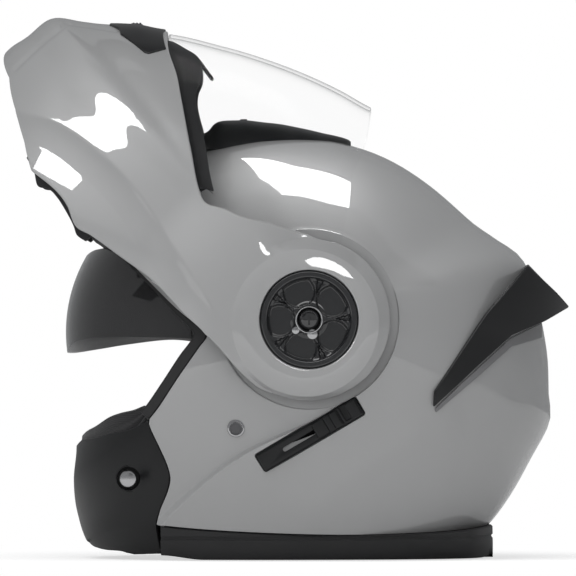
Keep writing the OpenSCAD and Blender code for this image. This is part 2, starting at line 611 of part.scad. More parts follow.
module eyeport_gasket() color("dimgray") at_pivot() difference() {
    intersection() {
        visor_dome(arm_t + 1);
        slab(concat(gasket_inner, with_chin([[-62.8, 76.8], [-73, 79], [-78, 101.4],
            [-83, 130.2], [-86.4, 145.8], [-91, 160.2], [-92, 168]])));
    }
    visor_dome(arm_t + 3.6);
}
module breath_deflector() color("black") at_pivot() intersection() {
    slab(with_chin([[-84.5, 165.5], [-81.4, 166.2], [-74.2, 162], [-65.2, 155.4], [-56.8, 144],
        [-58.5, 143], [-66.4, 153.4], [-75.4, 160], [-84, 163.6]]), 84);
    visor_dome(arm_t + 4);
}
module chin_vent_cover() color("black") at_pivot() difference() {
    intersection() {
        chin_dome(-1.2);
        slab(with_chin([[-119.2, 190], [-119.2, 176.4], [-113.2, 173.4], [-112, 170.1],
            [-97.6, 159], [-95.2, 158.4], [-84.9, 161.4], [-85.3, 190]]));
    }
    chin_dome(-gap);
}
vent_at = with_chin([[-103, 177.6]])[0];
module chin_vent_slider() color("dimgray") at_pivot() translate([vent_at[0], 0, vent_at[1]])
    rotate([0, 5, 0]) cube([7, 20, 2], center = true);
module chin_curtain() color("black") at_pivot() difference() {
    intersection() {
        chin_dome(arm_t + 1);
        slab(with_chin([[-168, 96], [-163.6, 88.2], [-161.2, 79.2], [-154.6, 77.4],
            [-149.8, 72.6], [-146, 67], [-142, 60], [-139.6, 55], [-137.6, 49.8], [-132.4, 46.2],
            [-129, 49.5], [-136, 64], [-145, 79], [-155, 91]]));
    }
    chin_dome(arm_t + 2.6);
}
// A latch hook: its jaw goes round the neck of the stud when the chin bar is closed.
hook_pin = stud_at + [-13, 8];
stud_neck_r = stud_r * 0.4;                  // neck of a latch stud, thinner than its head
jaw = stud_neck_r + 1.9;                     // leaves the neck free while the hook swings 5 degrees
module latch_hook() rotate([0, close_angle, 0]) translate([0, -hook_y, 0]) rotate([90, 0, 0])
    linear_extrude(2) difference() {
        union() {
            translate(stud_at) circle(r = 8);
            translate(hook_pin) circle(r = 5.5);
            polygon([stud_at + [3, 6], stud_at + [-4, -5], hook_pin - [4, 2], hook_pin + [2, 4]]);
        }
        translate(stud_at) circle(r = jaw);
        translate(stud_at) rotate(atan2(stud_at[1], stud_at[0]) - 90 + 180)
            translate([0, -jaw]) square([20, 2 * jaw]);
        translate(hook_pin) circle(r = 2 + fit);
    }
latch_wall_y = skin_y(chin_stations, arm_half_w,
    outward(turned([hook_pin], -close_angle)[0], 4.5), arm_t) - gap;
module latch_pins() color("silver") at_pivot() both_sides() rotate([0, close_angle, 0]) {
    cross_pin(2, hook_y - 1, hook_y + 2.5, hook_pin);
    cross_pin(4.5, hook_y + 2 + gap, latch_wall_y, hook_pin);
}
module latch_hook_left() color("silver") at_pivot() latch_hook();
module latch_hook_right() color("silver") at_pivot() mirror([0, 1, 0]) latch_hook();
module release_button() color("black") at_pivot() at_button() {
    translate([-button_l / 2, -button_w / 2, -6]) cube([button_l, button_w, 6.6]);
    translate([-button_l / 2 - 2, -button_w / 2 - 2, -7.6])
        cube([button_l + 4, button_w + 4, 1.8]);
}
visor_outline = concat([for (p = eyeport_edge) if (p[1] > 66) p + [0.5, 0.2]],
    [[-50, 62], [-30, 40], polar(36, 150), polar(36, 180), polar(36, 210), polar(36, 240),
     polar(36, 270), polar(36, 300), polar(36, 330), polar(36, 0), polar(36, 30), [21.8, 46.8],
     [25.4, 83.4], [33.2, 102.6], [36.8, 127.8], [40, 200], [-83.9, 200]]);
module clear_visor() color("lightgray") at_pivot() difference() {
    intersection() {
        visor_dome();
        slab(visor_outline);
    }
    visor_dome(visor_t);
    both_sides() cross_pin(boss_r + fit, 60, wide);
}

// Chin strap.
function thick_line(p, t) =
    let (n = len(p), normal = [for (i = [0:n - 1])
        let (v = p[min(i + 1, n - 1)] - p[max(i - 1, 0)]) [-v[1], v[0]] / norm(v)])
    concat([for (i = [0:n - 1]) p[i] + normal[i] * t / 2],
        [for (i = [n - 1:-1:0]) p[i] - normal[i] * t / 2]);
module strap(p) difference() {
    translate([rivet_at[0] - strap_w / 2, 0, 0]) rotate([90, 0, 90])
        linear_extrude(strap_w) polygon(thick_line(smooth_line(p, 3), strap_t));
    cross_pin(rivet_r * 0.5 + gap, 60, wide, rivet_at);
}
strap_path = concat([for (q = [[0, -52], [0, -62], [0, -71], [1.3, -80], [3.2, -91], [5.7, -103],
    [12.2, -114], [24.2, -120.5]]) q - [strap_y, 0]], [[-58, -124.5]]);
module chin_strap_left() color("black") at_pivot()
    strap(concat(strap_path, [[-36, -127], [-2.5, -129]]));
module chin_strap_right() color("black") at_pivot() mirror([0, 1, 0])
    strap(concat(strap_path, [[-38.5, -126.5]]));
lever_pin = [3, -124.2];                     // pin of the buckle lever, across and up
lever_pin_r = 1.2;
buckle_top = -126.5;
module lever_turning(r, half_l)
    translate([rivet_at[0] - half_l, lever_pin[0], lever_pin[1]]) rotate([0, 90, 0])
        cylinder(r = r, h = 2 * half_l);
module buckle_body() color("black") at_pivot() {
    translate([rivet_at[0], 18, buckle_top - 2.5]) cube([strap_w + 6, 40, 5], center = true);
    for (side = [-1, 1]) translate([rivet_at[0] + side * (strap_w / 2 + 2), 3, buckle_top + 2])
        cube([2, 6, 5], center = true);
    lever_turning(lever_pin_r, strap_w / 2 + 2);
}
module buckle_lever() color("firebrick") at_pivot() difference() {
    union() {
        lever_turning(2, strap_w / 2 + 0.6);
        translate([rivet_at[0] - strap_w / 2, lever_pin[0], buckle_top + gap])
            cube([strap_w, 27, 2]);
        translate([rivet_at[0] - strap_w / 2, lever_pin[0] + 25, buckle_top + gap])
            cube([strap_w, 4, 4]);
    }
    lever_turning(lever_pin_r + fit, strap_w);
}

outer_shell();
eps_liner();
crown_pad();
cheek_pad_left();
cheek_pad_right();
neck_roll();
face_trim();
base_trim();
chin_base();
chin_base_lining();
latch_strikers();
strap_rivets();
rear_spoiler();
exhaust_strip();
top_vent_base();
top_vent_slider();
sun_visor();
sun_visor_pins();
slider_plate();
slider_knob();
pivot_plate_left();
pivot_plate_right();
pivot_screws();
chin_bar();
chin_bar_liner();
chin_vent_cover();
chin_vent_slider();
eyeport_gasket();
breath_deflector();
chin_curtain();
release_button();
latch_hook_left();
latch_hook_right();
latch_pins();
side_cap_left();
side_cap_right();
clear_visor();
chin_strap_left();
chin_strap_right();
buckle_body();
buckle_lever();
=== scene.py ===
# %% [markdown]
# # A modular motorcycle helmet
# The chin bar of this helmet swings up about two pivots at the temples. It stands raised here, with the
# clear visor folded under it and the smoked sun visor lowered behind it.
#
# Every large skin of the helmet is measured from the pivot axis: at an angle round that axis the skin
# reaches so far out, and it curves in to the middle plane like a flattened circle. The same few numbers
# give the painted shell, the chin bar and the visors, so that they nest inside one another.
#
# The CAD model is loaded first. It gives each part its place and its motion, and it is not changed here:
# each part gets a finer piece in the same place, which stands for it in the picture.

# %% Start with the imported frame
import json
import math
import bpy
import bmesh
import numpy as np
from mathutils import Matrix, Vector

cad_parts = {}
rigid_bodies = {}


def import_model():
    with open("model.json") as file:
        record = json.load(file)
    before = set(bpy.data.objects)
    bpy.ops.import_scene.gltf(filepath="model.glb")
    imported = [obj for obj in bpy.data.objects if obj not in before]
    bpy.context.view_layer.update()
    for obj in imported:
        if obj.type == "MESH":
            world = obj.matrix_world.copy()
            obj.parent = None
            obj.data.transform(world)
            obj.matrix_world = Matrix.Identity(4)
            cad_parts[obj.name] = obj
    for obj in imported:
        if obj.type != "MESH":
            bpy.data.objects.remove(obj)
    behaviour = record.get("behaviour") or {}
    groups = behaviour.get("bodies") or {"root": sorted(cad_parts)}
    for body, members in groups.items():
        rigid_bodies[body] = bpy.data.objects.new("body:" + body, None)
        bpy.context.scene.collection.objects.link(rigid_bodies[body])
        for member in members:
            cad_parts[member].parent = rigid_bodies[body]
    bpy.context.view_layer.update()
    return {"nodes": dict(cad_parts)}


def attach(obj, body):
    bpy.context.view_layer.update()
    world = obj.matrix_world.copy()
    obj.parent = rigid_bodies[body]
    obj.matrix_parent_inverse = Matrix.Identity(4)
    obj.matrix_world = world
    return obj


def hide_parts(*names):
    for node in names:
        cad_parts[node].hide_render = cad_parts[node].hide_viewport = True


for leftover in list(bpy.data.objects):
    bpy.data.objects.remove(leftover, do_unlink=True)
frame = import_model()
PIVOT = np.array([13.0, 0.0, 142.8])          # where the pivots' axis lies in the frame, mm
PIVOT_PIXEL, MM_PER_PIXEL = np.array([308.7, 319.0]), 0.6

# %% [markdown]
# ## The skins
# A helmet's shells are moulded, so they have no flat places. They could be sculpted, but then the parts would
# not nest. Tables of numbers are used instead. Each line is an angle round the pivots (0 to the rear, 90 up,
# 180 to the front), how far the skin reaches there in mm, and how boxy its curve is. Between the lines the
# skin runs on smoothly.

# %% Tables of the skins
SHELL = [(0, 139.5, 2.2), (15, 133.5, 2.2), (24, 121, 2.2), (33, 112.5, 2.2), (50, 108.5, 2.2),
         (75, 108, 2.2), (93, 108.6, 2.3), (113, 114.5, 2.4), (130, 123, 2.5), (146, 129.5, 2.5),
         (160, 141.2, 2.5), (178, 165, 2.5), (196, 195, 2.5), (215, 210, 2.5), (240, 212, 2.5),
         (270, 190, 2.5), (300, 168, 2.5), (312, 163.5, 2.45), (327, 157.5, 2.4), (337, 157, 2.35),
         (343, 150.5, 2.3), (351, 145, 2.2)]
RIM = [(0, 160, 2.2), (120, 150, 2.2), (215, 208, 2.5), (240, 211, 2.5), (270, 190, 2.5),
       (290, 182, 2.5), (303, 179, 2.45), (312, 176, 2.4), (322, 170, 2.4), (340, 164, 2.3)]
SPOILER = [(0, 158, 2), (18, 158, 2), (60, 150, 2), (180, 150, 2.2), (300, 165, 2.4), (322, 162.5, 2.4),
           (332, 161, 2.35), (343, 157, 2.2), (352, 157, 2.05)]
CHIN = [(0, 200, 3), (64, 190, 3), (90, 184, 3), (106, 184, 3), (116, 191.8, 2.85), (124, 213, 2.75),
        (127.2, 223.8, 2.65), (130.5, 237, 2.6), (134.9, 239, 2.5), (138.8, 242, 2.45), (146, 239, 2.45),
        (155, 232, 2.5), (165, 225, 2.5), (200, 225, 2.6), (256, 225, 2.8), (310, 208, 3)]
VISOR = [(0, 131, 3.2), (45, 131, 3.2), (65, 131.7, 3.2), (73.9, 132.7, 3.1), (82, 138.5, 3),
         (90.4, 146.6, 3), (98.1, 156.2, 3), (104.5, 166.2, 2.95), (109.5, 175.4, 2.9), (116, 190, 2.85),
         (124, 208, 2.75), (135, 222, 2.7), (165, 224, 2.7), (256, 200, 3), (310, 150, 3)]
BASE = [(0, 150, 2.2), (90, 140, 2.2), (150, 140, 2.2), (190, 146, 2.2), (200, 150, 2.2),
        (208.5, 158.5, 2.2), (214.5, 171, 2.25), (220, 181, 2.3), (227, 190, 2.4), (240, 196, 2.5),
        (270, 190, 2.5), (300, 165, 2.4)]
SUN = [(-8, 90.5, 2.4), (180, 90.5, 2.4), (368, 90.5, 2.4)]
STEP_AT = 231.0                               # angle where the wider back of the shell steps up
BEND_MOST, BEND_SCALE = 60, 9e6               # the step's line bends forward near the pivots
print("skins: shell, rim, spoiler, chin bar, clear visor, chin base and sun visor")

# %% [markdown]
# ## Curves through a few points
# A drawn outline has few points, and a moulded edge has no corners. A Catmull-Rom curve goes through every
# point that it is given, which a Bezier curve would only do with handles set by hand.

# %% Curves
def catmull(a, b, c, d, t):
    """A point between b and c, at t from 0 to 1."""
    return 0.5 * (2 * b + (c - a) * t + (2 * a - 5 * b + 4 * c - d) * t ** 2
                  + (3 * b - a - 3 * c + d) * t ** 3)


def smooth_table(stations, k=10):
    """A closed table of angles, with k lines for each one given."""
    p, n, out = np.array(stations, float), len(stations), []
    at = lambda i: p[i % n] + np.array([360 * (i // n), 0, 0])
    for i in range(-3, n + 3):
        out += [catmull(at(i - 1), at(i), at(i + 1), at(i + 2), j / k) for j in range(k)]
    return np.array(out)


def smooth_line(points, k=8):
    """An open line through the points, with k pieces between two of them."""
    p, n = np.array(points, float), len(points)
    out = [catmull(p[max(i - 1, 0)], p[i], p[i + 1], p[min(i + 2, n - 1)], j / k)
           for i in range(n - 1) for j in range(k)]
    return np.array(out + [p[-1]])


def ramp(x):
    """0 below 0 and 1 above 1, with a soft start and end."""
    u = np.clip(x, 0, 1)
    return u * u * (3 - 2 * u)


def bend(r):
    """How far, in degrees, the step's line is turned forward at a distance from the pivots."""
    return np.minimum(BEND_MOST, BEND_SCALE / np.maximum(r, 30) ** 3)


def step_shift(r, a):
    return bend(r) * np.maximum(0, 1 - abs(a - STEP_AT) / 120)


def shell_half(turn):
    """Half the shell's width: 119 mm behind the step, 6 mm less on the cheek before it."""
    back = ramp((turn - STEP_AT + 0.9) / 1.8)
    return 119 - (1 - back) * 6 * ramp((turn - 100) / 50)


# %% [markdown]
# ## A skin as a formula
# Each skin gives a point for two angles: one round the pivots, and one across from the middle plane to the
# side. It can be asked for a point a little deeper too, which is how a lining follows the shell.

# %% Skins
class Skin:
    """A skin about the pivots, or about another centre. Angles in degrees, lengths in mm, near side."""

    def __init__(self, stations, half, centre=(0, 0)):
        plain = len(stations) == 3                # a round skin needs no smoothing
        self.table = np.array(stations, float) if plain else smooth_table(stations)
        self.half, self.centre = half, np.array(centre, float)

    def reach(self, a):
        return np.interp(a, self.table[:, 0], self.table[:, 1])

    def full(self, a):
        return np.interp(a, self.table[:, 0], self.table[:, 2])

    def width(self, a, r):
        return self.half

    def point(self, a, f, d=0.0):
        """The point at the angles a and f, d mm under the skin."""
        n, c, s = self.full(a), np.cos(np.radians(f)), np.sin(np.radians(f))
        r = (self.reach(a) - d) * np.maximum(c, 0) ** (2 / n)
        y = -(self.width(a, r) - d) * np.maximum(s, 0) ** (2 / n)
        return np.stack([r * np.cos(np.radians(a)) + self.centre[0], y,
                         r * np.sin(np.radians(a)) + self.centre[1]], -1)

    def spot(self, x, z, d=0.0):
        """The angles of the point that a place in the side view falls on."""
        x, z = np.asarray(x) - self.centre[0], np.asarray(z) - self.centre[1]
        a = np.degrees(np.arctan2(z, x)) % 360
        q = np.clip(np.hypot(x, z) / (self.reach(a) - d), 0, 1)
        return a, np.degrees(np.arccos(q ** (self.full(a) / 2)))

    def over(self, x, z, d=0.0):
        a, f = self.spot(x, z, d)
        return self.point(a, f, d)


class SteppedSkin(Skin):
    """The painted shell's skin, wider behind the step on each cheek."""

    def width(self, a, r):
        turn = np.asarray(a, float)
        for _ in range(24):                     # the way through this point
            turn = a - step_shift(r, turn)
        return shell_half(turn)


shell = SteppedSkin(SHELL, 119)
rim = Skin(RIM, 118)
spoiler = Skin(SPOILER, 122)
chin = Skin(CHIN, 120)
visor = Skin(VISOR, 115.9)
base = Skin(BASE, 112.5)
sun = Skin(SUN, 97, (-55.2, -7.8))

# %% [markdown]
# ## Outlines seen from the side
# The photograph is a flat side view, so the edges of the parts are measured in it and laid on the skins. The
# points are in mm from the pivot, x to the rear and z up.

# %% Outlines
FACE_EDGE = smooth_line([(-131.3, 51.2), (-124.6, 48.0), (-116.8, 44.2), (-98.2, 26), (-78, 6), (-64, -5),
                         (-60.4, -10), (-65.2, -17), (-77.2, -34.2), (-88.5, -51.5), (-95.2, -60)])
FRONT_EDGE = smooth_line([(-95.2, -60), (-93.4, -65.4), (-88, -76.8), (-83.8, -86.4), (-82, -94.5),
                          (-83.8, -102.6), (-88, -112.8), (-90.4, -121.8)])
RIM_LINE = smooth_line([(-90.4, -121.8), (-64, -124.2), (-34, -126), (0, -127.3), (31, -127.6),
                        (67, -126.6), (91, -125.2), (108.5, -123)])
LINING_EDGE = smooth_line([(-128.4, 46.4), (-115.2, 41), (-97, 22.5), (-81, 5), (-70, -6),
                           (-69.8, -11.4), (-77.2, -21.6), (-86.2, -35.4), (-96.4, -50.4),
                           (-100.5, -54.5)])
EYEPORT_EDGE = smooth_line([(-84.4, 172.2), (-83.2, 160.2), (-78.4, 145.8), (-75.4, 130.2),
                            (-70, 101.4), (-65.2, 77.4), (-61, 69), (-50.8, 66), (-40, 61.2),
                            (-25, 57.6), (-5.2, 51.6), (14.6, 44.4), (24, 38)])
CHIN_LOWER = np.concatenate([
    np.array([(-182.6, 161), (-179, 144), (-175, 125), (-171, 106.5)]),
    smooth_line([(-166.4, 88.6), (-152.2, 77.4), (-144.4, 67.2), (-139.6, 55.2), (-129.4, 49.2),
                 (-113.2, 37.8), (-95.2, 24.6), (-83.2, 12.6), (-74.2, 3), (-65.2, -4.8),
                 (-53.2, -16.8), (-41.2, -30.6), (-28, -41.4), (-11.2, -47)])])


def from_photo(*pixels):
    """Photo pixels as mm from the pivots."""
    return (np.array(pixels, float) - PIVOT_PIXEL) * [MM_PER_PIXEL, -MM_PER_PIXEL]


print(f"outlines: {len(FACE_EDGE)} points at the face, {len(EYEPORT_EDGE)} at the eyeport")

# %% [markdown]
# ## Turning grids of points into pieces
# A skin starts as a flat grid. Its points are laid on the skin, and then it gets its other side, its
# thickness and its rounded edges, as one would do by hand with the modifiers. A moulded edge is never sharp:
# the small bevel on it is what catches the light.

# %% Tools for the pieces
def only(piece):
    """Makes a piece the only one selected, in object mode."""
    if bpy.context.object and bpy.context.object.mode != "OBJECT":
        bpy.ops.object.mode_set(mode="OBJECT")
    bpy.ops.object.select_all(action="DESELECT")
    piece.select_set(True)
    bpy.context.view_layer.objects.active = piece


def grid(name, p):
    """A grid piece whose points lie at p[row, column], in mm from the pivots."""
    rows, cols = p.shape[:2]
    bpy.ops.mesh.primitive_grid_add(x_subdivisions=cols - 1, y_subdivisions=rows - 1, size=0.1)
    piece = bpy.context.object
    piece.name = piece.data.name = name
    piece.data.vertices.foreach_set("co", ((p + PIVOT) / 1000).astype(np.float32).ravel())
    for layer in list(piece.data.uv_layers):
        piece.data.uv_layers.remove(layer)
    piece.data.update()
    return piece


def join(name, pieces):
    """Joins pieces into one under a new name."""
    only(pieces[0])
    for p in pieces:
        p.select_set(True)
    if len(pieces) > 1:
        bpy.ops.object.join()
    piece = bpy.context.object
    piece.name = piece.data.name = name
    return piece


# %% Tools for a mesh in edit mode
def edit_mesh(piece, *steps, start="SELECT"):
    """Runs steps on a piece in edit mode, with all of it selected first, or nothing."""
    only(piece)
    bpy.ops.object.mode_set(mode="EDIT")
    bpy.ops.mesh.select_all(action=start)
    for step in steps:
        step()
    bpy.ops.object.mode_set(mode="OBJECT")


def face_outwards():
    bpy.ops.mesh.select_all(action="SELECT")
    bpy.ops.mesh.normals_make_consistent(inside=False)


def weld(piece, distance=0.00004):
    """Merges points that lie on one another, and turns all faces outwards."""
    edit_mesh(piece, lambda: bpy.ops.mesh.remove_doubles(threshold=distance),
              lambda: bpy.ops.mesh.dissolve_degenerate(threshold=distance / 4), face_outwards)


def turn_out(piece):
    """Turns the faces of an open skin away from the pivots."""
    inner = Vector(PIVOT / 1000)
    if sum((p.center - inner).normalized().dot(p.normal) * p.area for p in piece.data.polygons) < 0:
        edit_mesh(piece, bpy.ops.mesh.flip_normals)


# %% Tools that use modifiers
def modifier(piece, kind, **values):
    """Adds a modifier with its settings and applies it."""
    only(piece)
    bpy.ops.object.modifier_add(type=kind)
    m = piece.modifiers[-1]
    for key, value in values.items():
        setattr(m, key, value)
    bpy.ops.object.modifier_apply(modifier=m.name)


def both_sides(piece):
    """Adds the far side, joined to the near one in the middle plane."""
    modifier(piece, "MIRROR", use_axis=(False, True, False), use_mirror_merge=True,
             merge_threshold=0.00005)


def shade(piece, angle=40):
    """Smooth shading, except over edges sharper than the angle."""
    only(piece)
    bpy.ops.object.shade_smooth_by_angle(angle=math.radians(angle))


def round_edges(piece, width, segments=3, angle=38.0):
    """Bevel of width mm on every edge sharper than the angle, then smooth shading."""
    if width:
        modifier(piece, "BEVEL", width=width / 1000, segments=segments, limit_method="ANGLE",
                 angle_limit=math.radians(angle), use_clamp_overlap=False, miter_outer="MITER_ARC",
                 harden_normals=False)
    shade(piece)


def skin_piece(piece, thick, edge=0.8, mirror=True, quality=True, segments=3, angle=38.0):
    """Turns a grid on the near side into a shell, thick mm inwards from its skin."""
    weld(piece)
    turn_out(piece)
    if mirror:
        both_sides(piece)
    modifier(piece, "SOLIDIFY", thickness=thick / 1000, offset=-1, use_even_offset=False,
             use_quality_normals=quality)
    round_edges(piece, edge, segments, angle)
    print(f"{piece.name}: {len(piece.data.polygons)} faces")
    return piece


# %% [markdown]
# ## Laying points on a skin
# Even faces shade and bend well, so the points are spread by length and not by angle. A narrow first and
# last row keeps the bevel of the rim small and straight.

# %% Grids between outlines
def lengths(line):
    """How far along a line each of its points lies."""
    return np.concatenate([[0], np.cumsum(np.linalg.norm(np.diff(line, axis=0), axis=1))])


def spread(dense, rows, edge0=0.0, edge1=0.0):
    """Points evenly along each line of dense[k, column], with a first and last step of that many mm."""
    out = np.empty((rows, dense.shape[1], 3))
    for c in range(dense.shape[1]):
        line = dense[:, c]
        s = lengths(line)
        e0, e1 = min(edge0, s[-1] / 4), min(edge1, s[-1] / 4)
        marks = np.linspace(e0, s[-1] - e1, rows - (edge0 > 0) - (edge1 > 0))
        marks = np.concatenate([[0]] * (edge0 > 0) + [marks] + [[s[-1]]] * (edge1 > 0))
        for i in range(3):
            out[:, c, i] = np.interp(marks, s, line[:, i])
    return out


def along(line, count):
    """count points evenly spaced along an outline."""
    line = np.asarray(line, float)
    s = lengths(line)
    t = np.linspace(0, s[-1], count)
    return np.stack([np.interp(t, s, line[:, i]) for i in range(line.shape[1])], -1)


def between(skin, a_line, b_line, rows, cols, d=0.0, edge=(0.0, 0.0), dense=60):
    """Grid on a skin between two outlines: rows run across from a to b, columns along them."""
    a, b = along(a_line, cols), along(b_line, cols)
    aa, fa = skin.spot(a[:, 0], a[:, 1], d)
    ab, fb = skin.spot(b[:, 0], b[:, 1], d)
    t = np.linspace(0, 1, dense)[:, None]
    p = skin.point(aa + (ab - aa) * t, fa + (fb - fa) * t, d)
    return spread(p, rows, *edge)


def band(skin, lower, upper, end, rows, cols, edge=1.3, d=0.0, dense=40):
    """Grid on a skin from the middle plane to an end line, between a lower and an upper outline.
    end(angle) is the across-angle of the end line."""
    def ways(line):
        a, f = skin.spot(line[:, 0], line[:, 1], d)
        v = np.clip(f / end(a), 0, 1)
        v = np.maximum.accumulate(v)
        return v + np.arange(len(v)) * 1e-9, a
    vl, al = ways(np.asarray(lower, float))
    vu, au = ways(np.asarray(upper, float))
    v = np.linspace(0, 1, rows)
    lo, up = np.interp(v, vl, al), np.interp(v, vu, au)
    a = lo + (up - lo) * np.linspace(0, 1, dense)[:, None]
    p = skin.point(a, v * end(a), d)
    return spread(p, cols, edge, edge).transpose(1, 0, 2)


# %% Directions and distances on a grid
def normals(p):
    """Outward normals of a grid of points."""
    n = np.cross(np.gradient(p, axis=0), np.gradient(p, axis=1))
    n /= np.maximum(np.linalg.norm(n, axis=-1, keepdims=True), 1e-9)
    return n * np.sign((n * p).sum(-1, keepdims=True))


def beside(p, line):
    """Signed distance in mm in the side view from a line, plus to its left, and the way along it 0..1."""
    line = np.asarray(line, float)
    q = p[..., [0, 2]]
    best, side, way = np.full(q.shape[:-1], 1e9), np.zeros(q.shape[:-1]), np.zeros(q.shape[:-1])
    start = lengths(line)
    for i, (a, b) in enumerate(zip(line, line[1:])):
        u = b - a
        t = np.clip(((q - a) @ u) / (u @ u), 0, 1)
        e = q - (a + t[..., None] * u)
        dist = np.linalg.norm(e, axis=-1)
        s = np.sign(u[0] * (q - a)[..., 1] - u[1] * (q - a)[..., 0])
        new = dist < best
        best, side = np.where(new, dist, best), np.where(new, s, side)
        way = np.where(new, (start[i] + t * np.linalg.norm(u)) / start[-1], way)
    return best * side, way


def inside(p, outline):
    """Which points lie inside an outline in the side view."""
    x, z = p[..., 0], p[..., 2]
    hit = np.zeros(x.shape, bool)
    o = np.asarray(outline, float)
    for (x1, z1), (x2, z2) in zip(o, np.roll(o, -1, axis=0)):
        if z1 != z2:
            hit ^= ((z1 > z) != (z2 > z)) & (x < (x2 - x1) * (z - z1) / (z2 - z1) + x1)
    return hit

# %% [markdown]
# ## Materials
# The painted parts are gloss grey with a clear coat, the plastics near black with a fine grain, the metal
# studs bright. Image textures would need pictures and seams. Noise in the object's own space needs neither,
# and it keeps its size in mm on every piece. The grain and the weave are shared node groups.

# %% Shared effects as node groups
def new_group(name, inputs, outputs):
    """An empty node group with its sockets."""
    g = bpy.data.node_groups.new(name, "ShaderNodeTree")
    for kind, label, value in inputs:
        s = g.interface.new_socket(name=label, in_out="INPUT", socket_type=kind)
        if value is not None:
            s.default_value = value
    for kind, label in outputs:
        g.interface.new_socket(name=label, in_out="OUTPUT", socket_type=kind)
    return g, g.nodes.new("NodeGroupInput"), g.nodes.new("NodeGroupOutput")


def node(tree, kind, links=None, **values):
    """A node with its settings, its constant inputs and the sockets that feed it."""
    n = tree.nodes.new(kind)
    for key, value in values.items():
        if hasattr(n, key):
            setattr(n, key, value)
        else:
            n.inputs[key].default_value = value
    for socket, source in (links or {}).items():
        tree.links.new(source, n.inputs[socket])
    return n


def build_grain():
    """Fine moulded or sprayed texture: a bump normal and a little change in roughness."""
    g, gin, gout = new_group("fine_grain",
                             [("NodeSocketFloat", "Scale", 900.0), ("NodeSocketFloat", "Strength", 0.1),
                              ("NodeSocketFloat", "Height", 0.0001), ("NodeSocketFloat", "Roughness", 0.4),
                              ("NodeSocketFloat", "Spread", 0.08)],
                             [("NodeSocketVector", "Normal"), ("NodeSocketFloat", "Roughness")])
    co = node(g, "ShaderNodeTexCoord")
    fine = node(g, "ShaderNodeTexNoise", {"Vector": co.outputs["Object"], "Scale": gin.outputs["Scale"]},
                Detail=3.0, Roughness=0.6)
    bump = node(g, "ShaderNodeBump", {"Height": fine.outputs["Fac"], "Strength": gin.outputs["Strength"],
                                      "Distance": gin.outputs["Height"]})
    wide = node(g, "ShaderNodeTexNoise", {"Vector": co.outputs["Object"]}, Scale=22.0, Detail=4.0)
    centred = node(g, "ShaderNodeMath", {0: wide.outputs["Fac"]}, operation="SUBTRACT")
    centred.inputs[1].default_value = 0.5
    part = node(g, "ShaderNodeMath", {0: centred.outputs[0], 1: gin.outputs["Spread"]},
                operation="MULTIPLY")
    rough = node(g, "ShaderNodeMath", {0: part.outputs[0], 1: gin.outputs["Roughness"]}, operation="ADD")
    g.links.new(bump.outputs["Normal"], gout.inputs["Normal"])
    g.links.new(rough.outputs[0], gout.inputs["Roughness"])
    return g


def build_weave():
    """Woven cloth or webbing: crossing waves as height, and a lighter and a darker yarn."""
    g, gin, gout = new_group("weave",
                             [("NodeSocketFloat", "Scale", 400.0), ("NodeSocketFloat", "Strength", 0.5),
                              ("NodeSocketFloat", "Height", 0.0002),
                              ("NodeSocketColor", "Dark", (0.01, 0.01, 0.01, 1)),
                              ("NodeSocketColor", "Light", (0.03, 0.03, 0.03, 1))],
                             [("NodeSocketVector", "Normal"), ("NodeSocketColor", "Color")])
    co = node(g, "ShaderNodeTexCoord")
    a = node(g, "ShaderNodeTexWave", {"Vector": co.outputs["Object"], "Scale": gin.outputs["Scale"]},
             wave_type="BANDS", bands_direction="DIAGONAL", Distortion=0.4)
    b = node(g, "ShaderNodeTexWave", {"Vector": co.outputs["Object"], "Scale": gin.outputs["Scale"]},
             wave_type="BANDS", bands_direction="Z", Distortion=0.4)
    both = node(g, "ShaderNodeMath", {0: a.outputs["Fac"], 1: b.outputs["Fac"]}, operation="MULTIPLY")
    bump = node(g, "ShaderNodeBump", {"Height": both.outputs[0], "Strength": gin.outputs["Strength"],
                                      "Distance": gin.outputs["Height"]})
    mix = node(g, "ShaderNodeMix", {0: both.outputs[0]}, data_type="RGBA")
    g.links.new(gin.outputs["Dark"], mix.inputs[6])
    g.links.new(gin.outputs["Light"], mix.inputs[7])
    g.links.new(mix.outputs[2], gout.inputs["Color"])
    g.links.new(bump.outputs["Normal"], gout.inputs["Normal"])
    return g


GRAIN, WEAVE = build_grain(), build_weave()
print("node groups:", GRAIN.name, "and", WEAVE.name)

# %% [markdown]
# ## Paint, plastic, cloth and visor
# Each material is one Principled shader. Its colour drifts a little over the piece, as real paint and plastic
# do, and its grain is (size, strength, height in m, spread of roughness). The visors are tinted shields with
# a hard coat: seen edge-on they are darker, which a plain transparency would not give.

# %% Materials
def material(name, colour, roughness, grain=(900, 0.1, 0.0001, 0.05), coat=0.0, metallic=0.0, mottle=0.06):
    """Paint, plastic or metal; mottle is how far its colour drifts to either side."""
    m = bpy.data.materials.new(name)
    m.use_nodes = True
    t = m.node_tree
    t.nodes.clear()
    g = node(t, "ShaderNodeGroup", node_tree=GRAIN, Roughness=roughness,
             **dict(zip(("Scale", "Strength", "Height", "Spread"), grain)))
    place = node(t, "ShaderNodeTexCoord")
    cloud = node(t, "ShaderNodeTexNoise", {"Vector": place.outputs["Object"]}, Scale=14.0, Detail=5.0)
    mix = node(t, "ShaderNodeMix", {0: cloud.outputs["Fac"]}, data_type="RGBA")
    for socket, share in ((6, 1 - mottle), (7, 1 + mottle)):
        mix.inputs[socket].default_value = (*[c * share for c in colour], 1)
    bsdf = node(t, "ShaderNodeBsdfPrincipled", {"Base Color": mix.outputs[2], "Normal": g.outputs["Normal"],
                                                "Roughness": g.outputs["Roughness"]},
                Metallic=metallic, **{"Coat Weight": coat, "Coat Roughness": 0.02, "Coat IOR": 1.8})
    node(t, "ShaderNodeOutputMaterial", {"Surface": bsdf.outputs[0]})
    m.diffuse_color = (*colour, 1)
    return m


